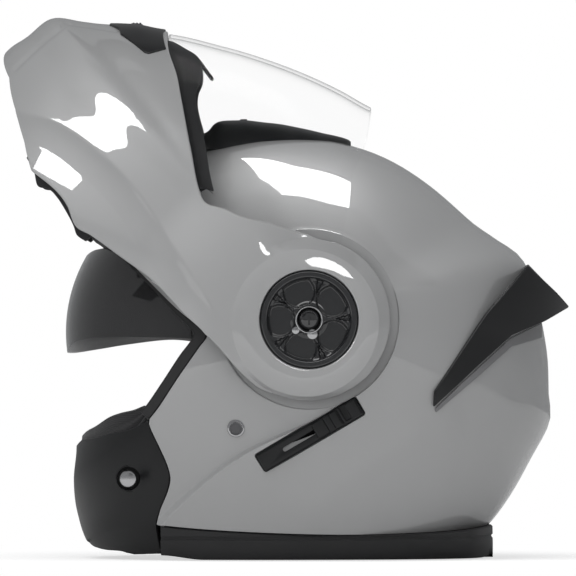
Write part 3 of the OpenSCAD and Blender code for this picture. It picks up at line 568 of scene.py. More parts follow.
def inside_of(m):
    """The node tree of a material and its Principled shader."""
    return m.node_tree, next(n for n in m.node_tree.nodes if n.type == "BSDF_PRINCIPLED")


# %% Cloth and visors
def woven(name, dark, light, scale, strength=0.6, height=0.0002):
    """Cloth or webbing of two yarns."""
    m = material(name, dark, 0.9)
    t, bsdf = inside_of(m)
    g = node(t, "ShaderNodeGroup", node_tree=WEAVE, Scale=scale, Strength=strength, Height=height,
             Dark=(*dark, 1), Light=(*light, 1))
    t.links.new(g.outputs["Normal"], bsdf.inputs["Normal"])
    t.links.new(g.outputs["Color"], bsdf.inputs["Base Color"])
    bsdf.inputs["Sheen Weight"].default_value = 0.3
    return m


def glass(name, colour, alpha, edge_alpha, edge_power=6.0):
    """A thin tinted visor: partly clear, with the shine of its hard coat."""
    m = material(name, colour, 0.02, grain=(40, 0.02, 0.0001, 0.01), coat=1.0, mottle=0.0)
    t, bsdf = inside_of(m)
    edge = node(t, "ShaderNodeLayerWeight", Blend=0.5)
    sharp = node(t, "ShaderNodeMath", {0: edge.outputs["Facing"]}, operation="POWER")
    sharp.inputs[1].default_value = edge_power
    see = node(t, "ShaderNodeMapRange", {"Value": sharp.outputs[0]})
    see.inputs["To Min"].default_value = alpha
    see.inputs["To Max"].default_value = edge_alpha
    t.links.new(see.outputs["Result"], bsdf.inputs["Alpha"])
    bsdf.inputs["Coat IOR"].default_value = 1.5
    m.surface_render_method = "BLENDED"
    return m


# %% The list of materials
MATERIALS = {
    "grey_paint": material("grey_paint", (0.35, 0.351, 0.353), 0.45, (2600, 0.01, 0.00002, 0.02), coat=1.0,
                           mottle=0.008),
    "black_plastic": material("black_plastic", (0.0075, 0.0078, 0.0085), 0.38, (1800, 0.10, 0.00006, 0.08)),
    "gloss_black": material("gloss_black", (0.012, 0.0125, 0.014), 0.16, (900, 0.03, 0.00003, 0.04),
                            coat=0.6),
    "grey_plastic": material("grey_plastic", (0.09, 0.09, 0.095), 0.42, (1800, 0.10, 0.00006, 0.08)),
    "foam": material("foam", (0.02, 0.02, 0.021), 0.85, (330, 0.7, 0.0006, 0.05)),
    "cloth": woven("cloth", (0.012, 0.012, 0.013), (0.032, 0.032, 0.034), 520),
    "webbing": woven("webbing", (0.010, 0.010, 0.011), (0.035, 0.035, 0.037), 300, 0.8, 0.0004),
    "seal_rubber": material("seal_rubber", (0.022, 0.022, 0.023), 0.55, (1500, 0.15, 0.0001, 0.1)),
    "steel": material("steel", (0.62, 0.62, 0.63), 0.20, (700, 0.03, 0.00003, 0.08), metallic=1.0),
    "dark_steel": material("dark_steel", (0.030, 0.030, 0.032), 0.10, (700, 0.03, 0.00003, 0.04),
                           coat=0.8, metallic=0.3),
    "strip_plastic": material("strip_plastic", (0.19, 0.19, 0.195), 0.42, (1800, 0.10, 0.00006, 0.08)),
    "red_plastic": material("red_plastic", (0.42, 0.015, 0.012), 0.35),
    "smoke_visor": glass("smoke_visor", (0.030, 0.030, 0.031), 0.84, 0.97),
    "clear_visor": glass("clear_visor", (0.22, 0.23, 0.235), 0.012, 0.75, 14.0),
}


def stand_in(piece, body, look, *nodes_replaced):
    """Gives a piece its material and its body, and hides the CAD parts that it stands for."""
    piece.data.materials.clear()
    piece.data.materials.append(MATERIALS[look])
    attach(piece, body)
    if nodes_replaced:
        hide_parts(*nodes_replaced)


print(len(MATERIALS), "materials")

# %% [markdown]
# ## The painted shell
# An injection-moulded shell about 3.5 mm thick. It could be a sphere cut to shape, but its faces would then
# run across the step on the cheek. So its skin is laid out along ways that run from the round pocket under
# each arm end to the middle plane or to the rim. The front of each cheek lies 6 mm lower than the back: the
# step between them is the bright line over the sun visor's slider.

# %% Painted shell
SHELL_OUTLINE = np.concatenate([[(-200, 51.2)], FACE_EDGE, FRONT_EDGE, RIM_LINE,
                                [(200, -118), (200, 200), (-200, 200)]])
POCKET_R, POCKET_Y = 53.0, -110.4             # the round pocket's radius and the level of its floor
BEND_BEFORE, BEND_AFTER = 30, 120             # degrees on both sides of the step in which the ways bend
BROW_LEAN, BROW_SPAN = 34, 88                 # over the brow the ways lean 34 degrees within 88 mm


def shell_way(way, f):
    """Points of the shell along ways that run out from the pivots; near the step they bend with it."""
    window = np.where(way < STEP_AT, 1 - (STEP_AT - way) / BEND_BEFORE, 1 - (way - STEP_AT) / BEND_AFTER)
    cosine = np.maximum(np.cos(np.radians(f)), 0)
    r0 = shell.reach(way) * cosine ** (2 / shell.full(way))
    brow = ramp((way - 50) / 60) * ramp((200 - way) / 36)
    b = way + bend(r0) * np.maximum(window, 0)
    b = b + BROW_LEAN * brow * np.clip((r0 - POCKET_R) / BROW_SPAN, 0, 1)
    n = shell.full(b)
    r = shell.reach(b) * cosine ** (2 / n)
    y = -shell.width(b, r) * np.maximum(np.sin(np.radians(f)), 0) ** (2 / n)
    return np.stack([r * np.cos(np.radians(b)), y, r * np.sin(np.radians(b))], -1), r


# %% Where the ways run and end
turns = np.unique(np.round(np.concatenate([
    np.arange(0, 360, 2.5), np.arange(110, 150, 0.5), np.arange(150, 227, 1.0), np.arange(227, 234, 0.18),
    np.arange(234, 240, 1), np.arange(300, 320, 0.8)]), 3))
turns = np.append(turns, 360.0)


def halve(lo, hi, beyond, rounds):
    """Halves the spans from lo to hi again and again, towards the places where beyond() turns true."""
    for _ in range(rounds):
        mid = (lo + hi) / 2
        hit = beyond(mid)
        hi, lo = np.where(hit, mid, hi), np.where(hit, lo, mid)
    return lo, hi


def way_ends(turns):
    """Across-angles where each way crosses the pocket's circle and where it leaves the outline."""
    lo, hi = halve(np.full(len(turns), 60.0), np.full(len(turns), 90.0),
                   lambda f: shell_way(turns, f)[1] < POCKET_R, 40)
    f0 = (lo + hi) / 2
    out = ~inside(shell_way(turns, f0 * (1 - np.linspace(0, 1, 500)[:, None]))[0], SHELL_OUTLINE)
    out[0] = False
    last = np.where(out.any(0), out.argmax(0), 499)
    lo, hi = halve(f0 * (1 - (last - 1) / 499), f0 * (1 - last / 499),
                   lambda f: ~inside(shell_way(turns, f)[0], SHELL_OUTLINE), 25)
    return f0, np.where(out.any(0), lo, 0.0)


f0, f1 = way_ends(turns)                        # more ways where their ends lie far apart
tips = shell_way(turns, f1)[0]
wide_gap = np.linalg.norm(np.diff(tips, axis=0), axis=1) > 3.0
wide_gap &= (f1[1:] > 0.01) | (f1[:-1] > 0.01)
turns = np.sort(np.append(turns, ((turns[1:] + turns[:-1]) / 2)[wide_gap]))
f0, f1 = way_ends(turns)
print("ways of the shell:", len(turns))
ways = shell_way(turns, f0 + (f1 - f0) * np.linspace(0, 1, 260)[:, None])[0]
ways[0][:, [0, 2]] *= (POCKET_R / np.hypot(ways[0][:, 0], ways[0][:, 2]))[:, None]
skin = spread(ways, 74, 1.2, 1.2)
skin[-1, f1 < 0.01, 1] = 0.0

# %% [markdown]
# ## Creases in the form
# The paint shows soft lines where two planes of the form meet. Cut edges would be too sharp for that, so the
# surface is let down on one side of a line, deeper and deeper until it levels out. A groove is the same idea,
# but narrow.

# %% Creases
def sink(p, line, depth, slope, soft=1.0, ends=0.08, side=1, half_band=None):
    """Lets the surface fall away on one side of a line seen from the side, down to a depth in mm."""
    d, way = beside(p, line)
    d = side * d
    fall = soft * np.log1p(np.exp(np.clip(d / soft, -30, 30))) * slope
    fall = depth * (1 - np.exp(-fall / depth))
    fade = ramp(way / ends) * ramp((1 - way) / ends) if ends else 1.0
    if half_band is not None:
        fade = fade * ramp((half_band - abs(d)) / (half_band * 0.5))
    return p - normals(p) * (fall * fade)[..., None]


def scored(p, line, depth, width, ends=0.06):
    """A shallow groove along a line in the side view, as where two panels of the form meet."""
    d, way = beside(p, line)
    dip = depth * np.exp(-(d / width) ** 2) * ramp(way / ends) * ramp((1 - way) / ends)
    return p - normals(p) * dip[..., None]


CROWN_CREASE = smooth_line(from_photo((330, 152), (351, 158), (375, 166), (400, 178), (420, 189),
                                      (436, 198), (460, 214), (490, 236), (525, 258)), 4)
REAR_CREASE = smooth_line(from_photo((545, 424), (510, 436), (480, 446), (455, 452)), 4)
CHEEK_CREASE = smooth_line(from_photo((430, 412), (404, 438), (350, 472), (320, 498), (300, 516)), 4)
skin = sink(skin, CROWN_CREASE, 1.6, 0.22, 0.5, 0.1, side=1, half_band=24)
skin = sink(skin, REAR_CREASE, 2.2, 0.20, 0.5, 0.2, side=-1, half_band=46)
skin = sink(skin, CHEEK_CREASE, 1.4, 0.14, 0.7, 0.2, side=-1, half_band=42)
skin[-1, f1 < 0.01, 1] = 0.0

# %% [markdown]
# ## The pocket under the arm end
# The arm end turns in a round pocket with a narrow groove at its rim. Its rings have the same count of points
# as the skin, so they join it without a seam, which a boolean cut would leave.

# %% Pocket, and the shell's piece
skin_edge = skin[0].copy()
pocket_floor, pocket_wall = [], []
for radius in (POCKET_R, POCKET_R - 1.3, 40, 24):
    ring = skin_edge.copy()
    ring[:, [0, 2]] *= radius / POCKET_R
    ring[:, 1] = POCKET_Y
    pocket_floor.append(ring)
for share, radius, sunk in ((0.5, POCKET_R, 0), (1, POCKET_R, 1.1), (1, POCKET_R + 0.15, 0.5),
                            (1, POCKET_R + 0.5, 0.12)):
    ring = skin_edge.copy()
    ring[:, [0, 2]] *= radius / POCKET_R
    sunk = sunk * np.clip((POCKET_Y - skin_edge[:, 1]) / 2.2, 0, 1)     # no groove where the wall is low
    ring[:, 1] = POCKET_Y + (skin_edge[:, 1] + sunk - POCKET_Y) * share
    pocket_wall.append(ring)
outer_shell = grid("outer_shell_skin", np.concatenate([pocket_floor[::-1], pocket_wall, skin[1:]]))
skin_piece(outer_shell, 3.2, 0)

# %% [markdown]
# ## The slider's recess
# The sun visor's slider lies flush in a rounded recess of the shell. A block with rounded corners is laid
# where the slider will be and cut out of the shell. The slider itself is later built from such blocks too.

# %% Blocks, cutting, and the recess
PLATE_AT, PLATE_TILT = np.array([0.6, -68.1]), math.radians(30.5)
plate_y = shell.over(*PLATE_AT)[1] + 1.6


def block(name, u, v, w, corner=0.0):
    """A box on the slider: u along it, v across it, w outwards from its face, corners rounded."""
    mid = [(u[0] + u[1]) / 2, -(w[0] + w[1]) / 2, (v[0] + v[1]) / 2]
    bpy.ops.mesh.primitive_cube_add(size=1, location=(mid[0] / 1000, mid[1] / 1000, mid[2] / 1000))
    piece = bpy.context.object
    piece.name = piece.data.name = name
    piece.scale = ((u[1] - u[0]) / 1000, (w[1] - w[0]) / 1000, (v[1] - v[0]) / 1000)
    bpy.ops.object.transform_apply(location=True, rotation=False, scale=True)
    if corner:
        edit_mesh(piece, start="DESELECT")
        for e in piece.data.edges:
            a, b = [piece.data.vertices[i].co for i in e.vertices]
            e.select = abs(a.x - b.x) < 1e-6 and abs(a.z - b.z) < 1e-6
        bpy.ops.object.mode_set(mode="EDIT")
        bpy.ops.mesh.bevel(offset=corner / 1000, segments=5, affect="EDGES")
        bpy.ops.object.mode_set(mode="OBJECT")
    return piece


def on_plate(piece):
    """Turns a piece from the slider's own frame to its place on the near side."""
    piece.rotation_euler = (0, -PLATE_TILT, 0)
    piece.location = ((PLATE_AT[0] + PIVOT[0]) / 1000, plate_y / 1000, (PLATE_AT[1] + PIVOT[2]) / 1000)
    only(piece)
    bpy.ops.object.transform_apply(location=True, rotation=True, scale=False)
    return piece


def carve(piece, tool):
    """Cuts the tool out of the piece."""
    modifier(piece, "BOOLEAN", operation="DIFFERENCE", solver="MANIFOLD", object=tool)
    bpy.data.objects.remove(tool, do_unlink=True)


carve(outer_shell, on_plate(block("cutter", (-34.9, 34.9), (-6.6, 6.6), (-2.3, 14), 1.8)))
shade(outer_shell)
stand_in(outer_shell, "shell", "grey_paint", "outer_shell")

# %% [markdown]
# ## The chin bar
# One moulding: the chin, the two arms and the round arm ends over the pivots. Each arm end is a flat disc
# that flows into the arm in front of it and ends in a wall behind. The arm and the disc have different rows
# of points, so they are two grids whose shared row has the very same points, and are welded there.

# %% The arm with its raised end
POD_FOOT, FACE_R, CAP_HOLE = 48.0, 43.6, 29.3  # radii of the arm end's foot, its flat face and the cap's hole
POD_Y, CAP_FLOOR = -126.5, -120.4             # levels of the face and of the hole's floor


def from_face(p):
    """Distance from the middle of the round face, which lies a little low and forward of the pivot."""
    return np.hypot(p[..., 0] + 2.2, p[..., 2] + 2.0)


def dish(off):
    """Level of the round face: flat round the cap, then falling away a little towards its rim."""
    return POD_Y + 1.3 * np.clip((off - 32) / 11.6, 0, 1) ** 2


def pod(p):
    """Raises the arm ends to the level of the round face."""
    off = from_face(p)
    rho = np.hypot(p[..., 0], p[..., 2])
    a = np.degrees(np.arctan2(p[..., 2], p[..., 0])) % 360
    toward = ramp((a - 92) / 34) * ramp((246 - a) / 34)      # 1 on the side of the arm
    t = np.clip((off - FACE_R) / np.maximum(POD_FOOT + 0.4 + (off - rho) - FACE_R, 1.2), 0, 1)
    flow = np.clip((off - FACE_R) / 62, 0, 1)
    keep = (1 - ramp(flow)) * toward + (1 - t) * (1 - toward)
    keep = np.where(off <= FACE_R, 1, keep)
    q = p.copy()
    q[..., 1] = p[..., 1] + (dish(off) - p[..., 1]) * keep * (rho < 122)
    return q


# %% [markdown]
# ## The collar round the arm end
# The collar runs from the disc's face to the arm's outlines in front and to the round foot behind. The soft
# arch over the arm and two grooves on the chin are where the planes of the real moulding meet.

# %% Collar, arch and grooves
ARM_END, COLLAR_FROM = 62.0, 39.5             # the collar's outer and inner radius, mm
end_at = lambda a: np.degrees(np.arccos((ARM_END / chin.reach(a)) ** (chin.full(a) / 2)))
arm = band(chin, CHIN_LOWER, EYEPORT_EDGE, end_at, 170, 96, edge=1.3)
arm[0, :, 1] = 0.0
arc = np.degrees(np.arctan2(arm[-1, :, 2], arm[-1, :, 0])) % 360


def rim_radius(a):
    """Radius of the arm end's edge at an angle: the arm's outlines, or the round foot behind."""
    low, up = CHIN_LOWER[-60:], EYEPORT_EDGE[-60:]
    al, au = [np.degrees(np.arctan2(o[:, 1], o[:, 0])) % 360 for o in (low, up)]
    rl, ru = np.hypot(low[:, 0], low[:, 1]), np.hypot(up[:, 0], up[:, 1])
    order = np.argsort(al)
    r = np.where(a > 180, np.interp(a, al[order], rl[order]), 0)
    order = np.argsort(au)
    r = np.where(a <= 180, np.interp(a, au[order], ru[order]), r)
    return np.clip(np.where((a > 257) | (a < 74), POD_FOOT, r), POD_FOOT, ARM_END)


# %% The collar's grid
lower_side = np.linspace(arc[0], 258, 48)
behind = np.linspace(258, 434, 90)
upper_side = np.linspace(434, arc[-1] + 360, 28)
circle = np.concatenate([arc[::-1], lower_side[1:], behind[1:], upper_side[1:]])
limit = np.concatenate([np.full(len(arc), ARM_END), rim_radius(lower_side[1:] % 360),
                        rim_radius(behind[1:] % 360), rim_radius(upper_side[1:] % 360)])
t = np.linspace(0, 1, 90)[:, None]
radius = COLLAR_FROM + (limit - COLLAR_FROM) * t
angle = np.radians(circle)
collar = pod(chin.over(radius * np.cos(angle), radius * np.sin(angle)))
collar = spread(collar, 40, 0, 1.3)
arm = pod(arm)
ARCH = smooth_line(from_photo((-40, 108), (12, 112), (19, 114), (50, 120), (75, 133), (95, 148), (109, 160),
                              (125, 175), (150, 205), (170, 238), (190, 270), (215, 310), (228, 330)), 4)
FRONT_BEVEL = smooth_line(from_photo((70, 22), (66, 27), (40, 48), (13, 74)), 4)
TOP_FACET = from_photo((64, 22), (70, 25), (95, 28.5), (122, 33))
arm = sink(arm, ARCH, 3.4, 0.34, 0.6, 0.16, side=-1)
arm = scored(arm, FRONT_BEVEL, 0.8, 1.5)
arm = scored(arm, TOP_FACET, 0.5, 1.3)
arm[0, :, 1] = 0.0
collar = sink(collar, ARCH, 3.4, 0.34, 0.6, 0.16, side=-1)
collar[-1, :len(arc)] = arm[-1][::-1]
collar[:, -1] = collar[:, 0]


# %% [markdown]
# ## The arm end's disc
# The cap sits in a round hole of the disc, and a short skirt at the back of the arm end reaches into the
# shell's pocket, so that no gap shows when the chin bar swings.

# %% Disc and skirt, and the chin bar's piece
def disc_row(radius, y):
    return np.stack([radius * np.cos(angle), np.full(len(angle), float(y)), radius * np.sin(angle)], -1)


disc = [disc_row(r, y) for r, y in ((13, CAP_FLOOR), (CAP_HOLE - 1.4, CAP_FLOOR), (CAP_HOLE, CAP_FLOOR),
                                    (CAP_HOLE, (CAP_FLOOR + POD_Y) / 2), (CAP_HOLE, POD_Y),
                                    (CAP_HOLE + 1.2, POD_Y))]
for r in (32, 34, 36, 38):
    ring = disc_row(r, POD_Y)
    ring[:, 1] = dish(from_face(ring))
    disc.append(ring)
disc = np.concatenate([np.array(disc), collar])
first = len(arc) + len(lower_side) - 2
last = first + len(behind)
skirt = np.repeat(collar[-1:, first:last], 3, axis=0)
skirt_end = np.interp(circle[first:last], [258, 360, 368, 434], [-113.2, -113.2, -117.7, -117.7])
skirt[2, :, 1] = skirt_end
skirt[1, :, 1] = (skirt[0, :, 1] + skirt_end) / 2
chin_bar = join("chin_bar_skin", [grid("arm", arm), grid("disc", disc), grid("skirt", skirt)])
skin_piece(chin_bar, 3.4, 0.8, angle=42)
stand_in(chin_bar, "chin_bar_group", "grey_paint", "chin_bar")

# %% [markdown]
# ## The lining of the face opening
# A padded lining lies along the painted edge: narrow under the brow, wide in front of the cheek. It could be
# a curve with a bevel, but its width changes. So it is a thick band between two outlines, a little under the
# shell's skin, with a wide soft bevel.

# %% Face trim
trim = between(shell, FACE_EDGE, LINING_EDGE, 10, 150, d=0.9)
trim[:, 0, 1] = 0.0
face_trim = grid("face_trim_pad", trim)
skin_piece(face_trim, 6.0, 1.8, segments=4)
stand_in(face_trim, "shell", "seal_rubber", "face_trim")


# %% [markdown]
# ## The rubber rim
# A rubber moulding closes the bottom of the shell all the way round, and the helmet stands on it. Its profile
# is a list of heights and insets, and each gives one loop, so the rim keeps its form round the tight curve at
# the back. The uppermost loops follow the shell's lower edge.

# %% Rim
RIM_BACK, RIM_FRONT, RIM_ROUND = 110.5, -88, 14.5    # its two ends and the length of its round back, mm


def rim_loop(z, inset=0.0, count=150):
    """The outside of the black rim at a height, from its front end round to the middle of the back."""
    x = RIM_BACK - (RIM_BACK - RIM_FRONT) * (1 - np.sin(np.linspace(0, np.pi / 2, count)[::-1]))
    y = -rim.over(x, np.full(count, float(z)), 0)[:, 1]
    reach = np.clip((x - RIM_BACK + RIM_ROUND) / RIM_ROUND, 0, 1)
    y = np.where(reach > 0, y * np.sqrt(np.maximum(1 - reach ** 2.6, 0)), y)
    p = np.stack([x, -y, np.full(count, float(z))], -1)[::-1]
    flow = np.gradient(p, axis=0)
    flow[-1] = [0, 1, 0]
    out = np.stack([flow[:, 1], -flow[:, 0], np.zeros(count)], -1)
    out /= np.maximum(np.linalg.norm(out, axis=1, keepdims=True), 1e-9)
    out *= np.sign((out * (p - [10, 0, z])).sum(1))[:, None]
    q = p - out * inset
    q[-1, 1] = 0.0
    return q


# %% The rim's loops
def rim_top(p):
    """Lifts a loop to the shell's lower edge."""
    q = p.copy()
    q[:, 2] = np.interp(p[:, 0], RIM_LINE[:, 0], RIM_LINE[:, 1]) - 0.35
    return q


RIM_PROFILE = [(-140.9, 5.6), (-142.2, 4.6), (-142.75, 3.2), (-142.75, 1.6), (-142.2, 0.5), (-141.2, 0.0),
               (-137.5, 0.0), (-134, 0.0), (-131.2, 0.1), (-130.2, 0.9), (-129.4, 0.9), (-128.6, 0.1)]
loops = [rim_loop(z, inset) for z, inset in RIM_PROFILE]
for loop in loops[:7]:                          # the front end rises a little
    loop[:, 2] += 2.6 * ramp((-62 - loop[:, 0]) / 26)
loops += [rim_top(rim_loop(-127.0, 0.2)) - [0, 0, 0.9], rim_top(rim_loop(-127.0, 1.0)),
          rim_top(rim_loop(-127.0, 5.6)), rim_loop(-134.0, 5.8), loops[0]]
base_trim = grid("base_trim_rubber", np.array(loops))
weld(base_trim)
both_sides(base_trim)
edit_mesh(base_trim, lambda: bpy.ops.mesh.select_non_manifold(extend=False),
          lambda: bpy.ops.mesh.fill_holes(sides=0), face_outwards, start="DESELECT")
round_edges(base_trim, 0)
stand_in(base_trim, "shell", "seal_rubber", "base_trim")
print("rim:", len(loops), "loops")

# %% [markdown]
# ## The chin base
# The fixed lower piece in front of the neck, in black plastic. It is wrapped round the chin between a top
# and a bottom line, like the chin bar, and ends at the shell's front edge. A lip runs along its foot.

# %% Chin base
BASE_TOP = np.array([(-141, -76.2), (-139.6, -76.2), (-136, -72), (-119.2, -67.8), (-107.2, -65.4),
                     (-96.6, -60.6)])
BASE_BOTTOM = np.array([(-133.6, -133.5), (-131.5, -135.5), (-127, -137.8), (-118, -139), (-88, -140.6)])
BASE_END = np.concatenate([FRONT_EDGE - [0.35, 0], [(-90, -131), (-88, -140.6)]])
end_a, end_f = base.spot(BASE_END[:, 0], BASE_END[:, 1])
order = np.argsort(end_a)
base_end = lambda a: np.interp(a, end_a[order], end_f[order])
front = band(base, BASE_TOP, BASE_BOTTOM, base_end, 110, 60, edge=1.2)
front[0, :, 1] = 0.0
LIP = smooth_line(from_photo((93, 537), (105, 530), (132, 525), (153, 522)), 4)
front = sink(front, LIP, 1.6, 0.30, 0.5, 0.0, side=-1)
front[0, :, 1] = 0.0
chin_base = grid("chin_base_shell", front)
skin_piece(chin_base, 2.8, 0.9)

# %% [markdown]
# ## Round parts
# Studs, rivets, screws and rings are turned on a lathe or pressed. They could be cylinders with bevels, but a
# spun profile gives every shoulder in one go. The spin runs round an axis across the helmet. The far side's
# part is a mirrored copy with its faces turned back outwards.

# %% Lathe, mirrored copy and bore
STUD = np.array([-107.2, -94.6])
stud_y = base.over(STUD[0], STUD[1])[1]


def lathe(name, profile, centre, turns=64):
    """Spins a profile of (radius, y) pairs in mm round an axis along Y, as with the Spin tool."""
    bpy.ops.mesh.primitive_plane_add(size=0.001, location=(0, 0, 0))
    piece = bpy.context.object
    piece.name = piece.data.name = name
    bm = bmesh.new()
    c = Vector(((centre[0] + PIVOT[0]) / 1000, 0, (centre[1] + PIVOT[2]) / 1000))
    chain = [bm.verts.new(c + Vector((r / 1000, y / 1000, 0))) for r, y in profile]
    for start, end in zip(chain, chain[1:]):
        bm.edges.new((start, end))
    bm.to_mesh(piece.data)
    bm.free()
    only(piece)
    bpy.ops.object.mode_set(mode="EDIT")
    bm = bmesh.from_edit_mesh(piece.data)
    bmesh.ops.spin(bm, geom=bm.verts[:] + bm.edges[:], cent=c, axis=(0, 1, 0), angle=math.tau, steps=turns)
    bmesh.ops.remove_doubles(bm, verts=bm.verts[:], dist=0.000012)
    bmesh.ops.recalc_face_normals(bm, faces=bm.faces[:])
    bmesh.update_edit_mesh(piece.data)
    shade(piece, 35)
    return piece


def other_side(piece, name):
    """A copy of its own on the far side."""
    only(piece)
    bpy.ops.object.duplicate()
    twin = bpy.context.object
    twin.name = twin.data.name = name
    twin.scale.y = -1
    bpy.ops.object.transform_apply(location=False, rotation=False, scale=True)
    edit_mesh(twin, bpy.ops.mesh.flip_normals)
    return twin


def cut(piece, radius, centre, y0, y1):
    """Bores a round hole along Y right through both sides."""
    c = [(centre[0] + PIVOT[0]) / 1000, (centre[1] + PIVOT[2]) / 1000]
    for side in (-1, 1):
        bpy.ops.mesh.primitive_cylinder_add(vertices=64, radius=radius / 1000, depth=(y1 - y0) / 1000,
                                            location=(c[0], side * (y0 + y1) / 2000, c[1]),
                                            rotation=(math.radians(90), 0, 0))
        carve(piece, bpy.context.object)


# %% [markdown]
# ## The studs that the hooks close on
# Each steel stud stands in a cup of the chin base. When the chin bar comes down, its two hooks snap over the
# studs' heads.

# %% Cups and studs
cut(chin_base, 7.0, STUD, -stud_y - 6, -stud_y + 8)
shade(chin_base)
stand_in(chin_base, "shell", "black_plastic", "chin_base")
cup = lathe("stud_cup_left", [(7.9, stud_y - 0.5), (7.6, stud_y - 0.9), (7.1, stud_y - 0.9),
                              (6.7, stud_y - 0.5), (6.5, stud_y + 3), (6.3, stud_y + 11), (0, stud_y + 11)],
            STUD)
stud = lathe("stud_left", [(0, -92.6), (3.6, -92.5), (4.5, -92.2), (4.9, -91.6), (5.0, -90.6), (4.8, -90.0),
                           (2.2, -89.6), (2.0, -88), (2.0, -76), (0, -76)], STUD)
print(f"studs: the chin base's skin lies {-stud_y:.1f} mm out there")
for part, look, nodes_replaced in ((cup, "black_plastic", ()), (stud, "steel", ("latch_strikers",))):
    twin = other_side(part, part.name.replace("left", "right"))
    stand_in(part, "shell", look, *nodes_replaced)
    stand_in(twin, "shell", look, *nodes_replaced)

# %% [markdown]
# ## Visors
# Two moulded polycarbonate shields. The sun visor turns about its own hinge inside the shell, and its skin is
# round that hinge, so it slides past the brow without touching it. The clear one turns about the chin bar's
# pivots. Thin sheets with real thickness show their cut edges, which a single face would not.

# %% Sun visor
SUN_LOWER = smooth_line(np.array([(-13.1, -5.4), (-28.5, -4.4), (-52.5, -7.2), (-70.5, -10.2), (-84, -12.4),
                                  (-89.62, -12.6)]) + sun.centre, 6)
SUN_UPPER = smooth_line(np.array([(-7, 12.4), (-30, 30), (-49, 44), (-62, 50), (-72, 49.5),
                                  (-77.7, 46.4)]) + sun.centre, 6)
glass_sun = between(sun, SUN_LOWER, SUN_UPPER, 40, 110, edge=(1.0, 1.0))
glass_sun[:, -1, 1] = 0.0
sun_visor = grid("sun_visor_glass", glass_sun)
skin_piece(sun_visor, 2.0, 0.6)
stand_in(sun_visor, "sun_visor_body", "smoke_visor", "sun_visor")

# %% Clear visor
VISOR_LOW = EYEPORT_EDGE[EYEPORT_EDGE[:, 1] > 66] + [0.8, 0.2]
VISOR_LOW = np.concatenate([VISOR_LOW, [(-50, 62), (-36, 46), (-30, 30)]])
VISOR_HIGH = smooth_line([(37.5, 126.7), (36.8, 120), (33.2, 102.6), (25.4, 83.4), (21.8, 60), (18, 40)], 6)
glass_clear = between(visor, VISOR_LOW, VISOR_HIGH, 70, 90, edge=(1.0, 1.0))
glass_clear[:, 0, 1] = 0.0
clear = grid("clear_visor_glass", glass_clear)
skin_piece(clear, 2.0, 0.6)
stand_in(clear, "clear_visor_body", "clear_visor", "clear_visor")

# %% [markdown]
# ## The eyeport's seal
# The clear visor closes on a rubber seal along the eyeport. It is a band under the visor's skin, with a
# groove along its middle and a soft swelling on each side of it.

# %% Seal
SEAL_IN = smooth_line([(-81.4, 166.2), (-74.2, 162), (-65.2, 155.4), (-63.6, 144), (-66.4, 136.2),
                       (-67, 129.6), (-65.8, 122.4), (-63.4, 113.4), (-61, 101.4), (-58.6, 86.4),
                       (-56.2, 76.2)], 6)
SEAL_OUT = smooth_line([(-92, 168), (-91, 160.2), (-86.4, 145.8), (-83, 130.2), (-78, 101.4), (-73, 79),
                        (-68, 77)], 6)
seal = between(visor, SEAL_OUT, SEAL_IN, 16, 110, d=4.2, edge=(0.8, 0.8))
seal[:, 0, 1] = 0.0
across = np.linspace(-1, 1, 16)[:, None, None]
seal -= normals(seal) * (0.8 * np.exp(-(across / 0.16) ** 2) - 0.5 * (1 - across ** 2))
gasket = grid("eyeport_seal", seal)
skin_piece(gasket, 2.4, 0.5)
stand_in(gasket, "chin_bar_group", "seal_rubber", "eyeport_gasket")

# %% [markdown]
# ## The chin bar's vent cover
# A black cover sits on the nose of the chin bar, 1 mm proud of it, with a low hump in front of its slider.
# Its outline is laid down in the skin's own two angles, because in the side view its front edge and the
# middle plane fall on one another.

# %% Vent cover
COVER_IN = np.array([(-119.2, 178), (-119.2, 176.4), (-113.2, 173.4), (-112, 170.1), (-97.6, 159),
                     (-95.2, 158.4), (-84.9, 161.4)])


def cover_edge(p):
    """The two angles of the cover's outline points, 1 mm above the chin bar's skin."""
    return chin.spot(np.array(p)[:, 0], np.array(p)[:, 1], -1.0)


front_a, front_f = cover_edge(COVER_IN)
front_f[0] = 0.0
front_line = along(np.stack([front_a, front_f], -1), 60)
rear_a, rear_f = cover_edge([(-84.9, 161.4), (-85.2, 172.4)])
rear_line = np.stack([np.linspace(rear_a[1], rear_a[0], 60), np.linspace(0, rear_f[0], 60)], -1)
mix = np.linspace(0, 1, 26)[:, None, None]
cover = front_line * (1 - mix) + rear_line * mix
cover = chin.point(cover[..., 0], cover[..., 1], -1.0)
hump = np.interp(cover[..., 0], [-119.2, -103, -100, -85], [0, 1.6, 1.6, 0.3])
hump *= ramp((62 - abs(cover[..., 1])) / 25)
cover = cover + normals(cover) * hump[..., None]
cover = spread(cover, 26, 0.8, 0.8)
cover[:, 0, 1] = 0.0
vent_cover = grid("vent_cover", cover)
skin_piece(vent_cover, 2.2, 0.6)
stand_in(vent_cover, "chin_bar_group", "black_plastic", "chin_vent_cover")

# %% [markdown]
# ## Buttons
# The vent's thumb piece and the release button are small oblong mouldings. Each is a stack of rounded
# outlines from its foot to its softly crowned face. The thumb piece has three ribs for grip.

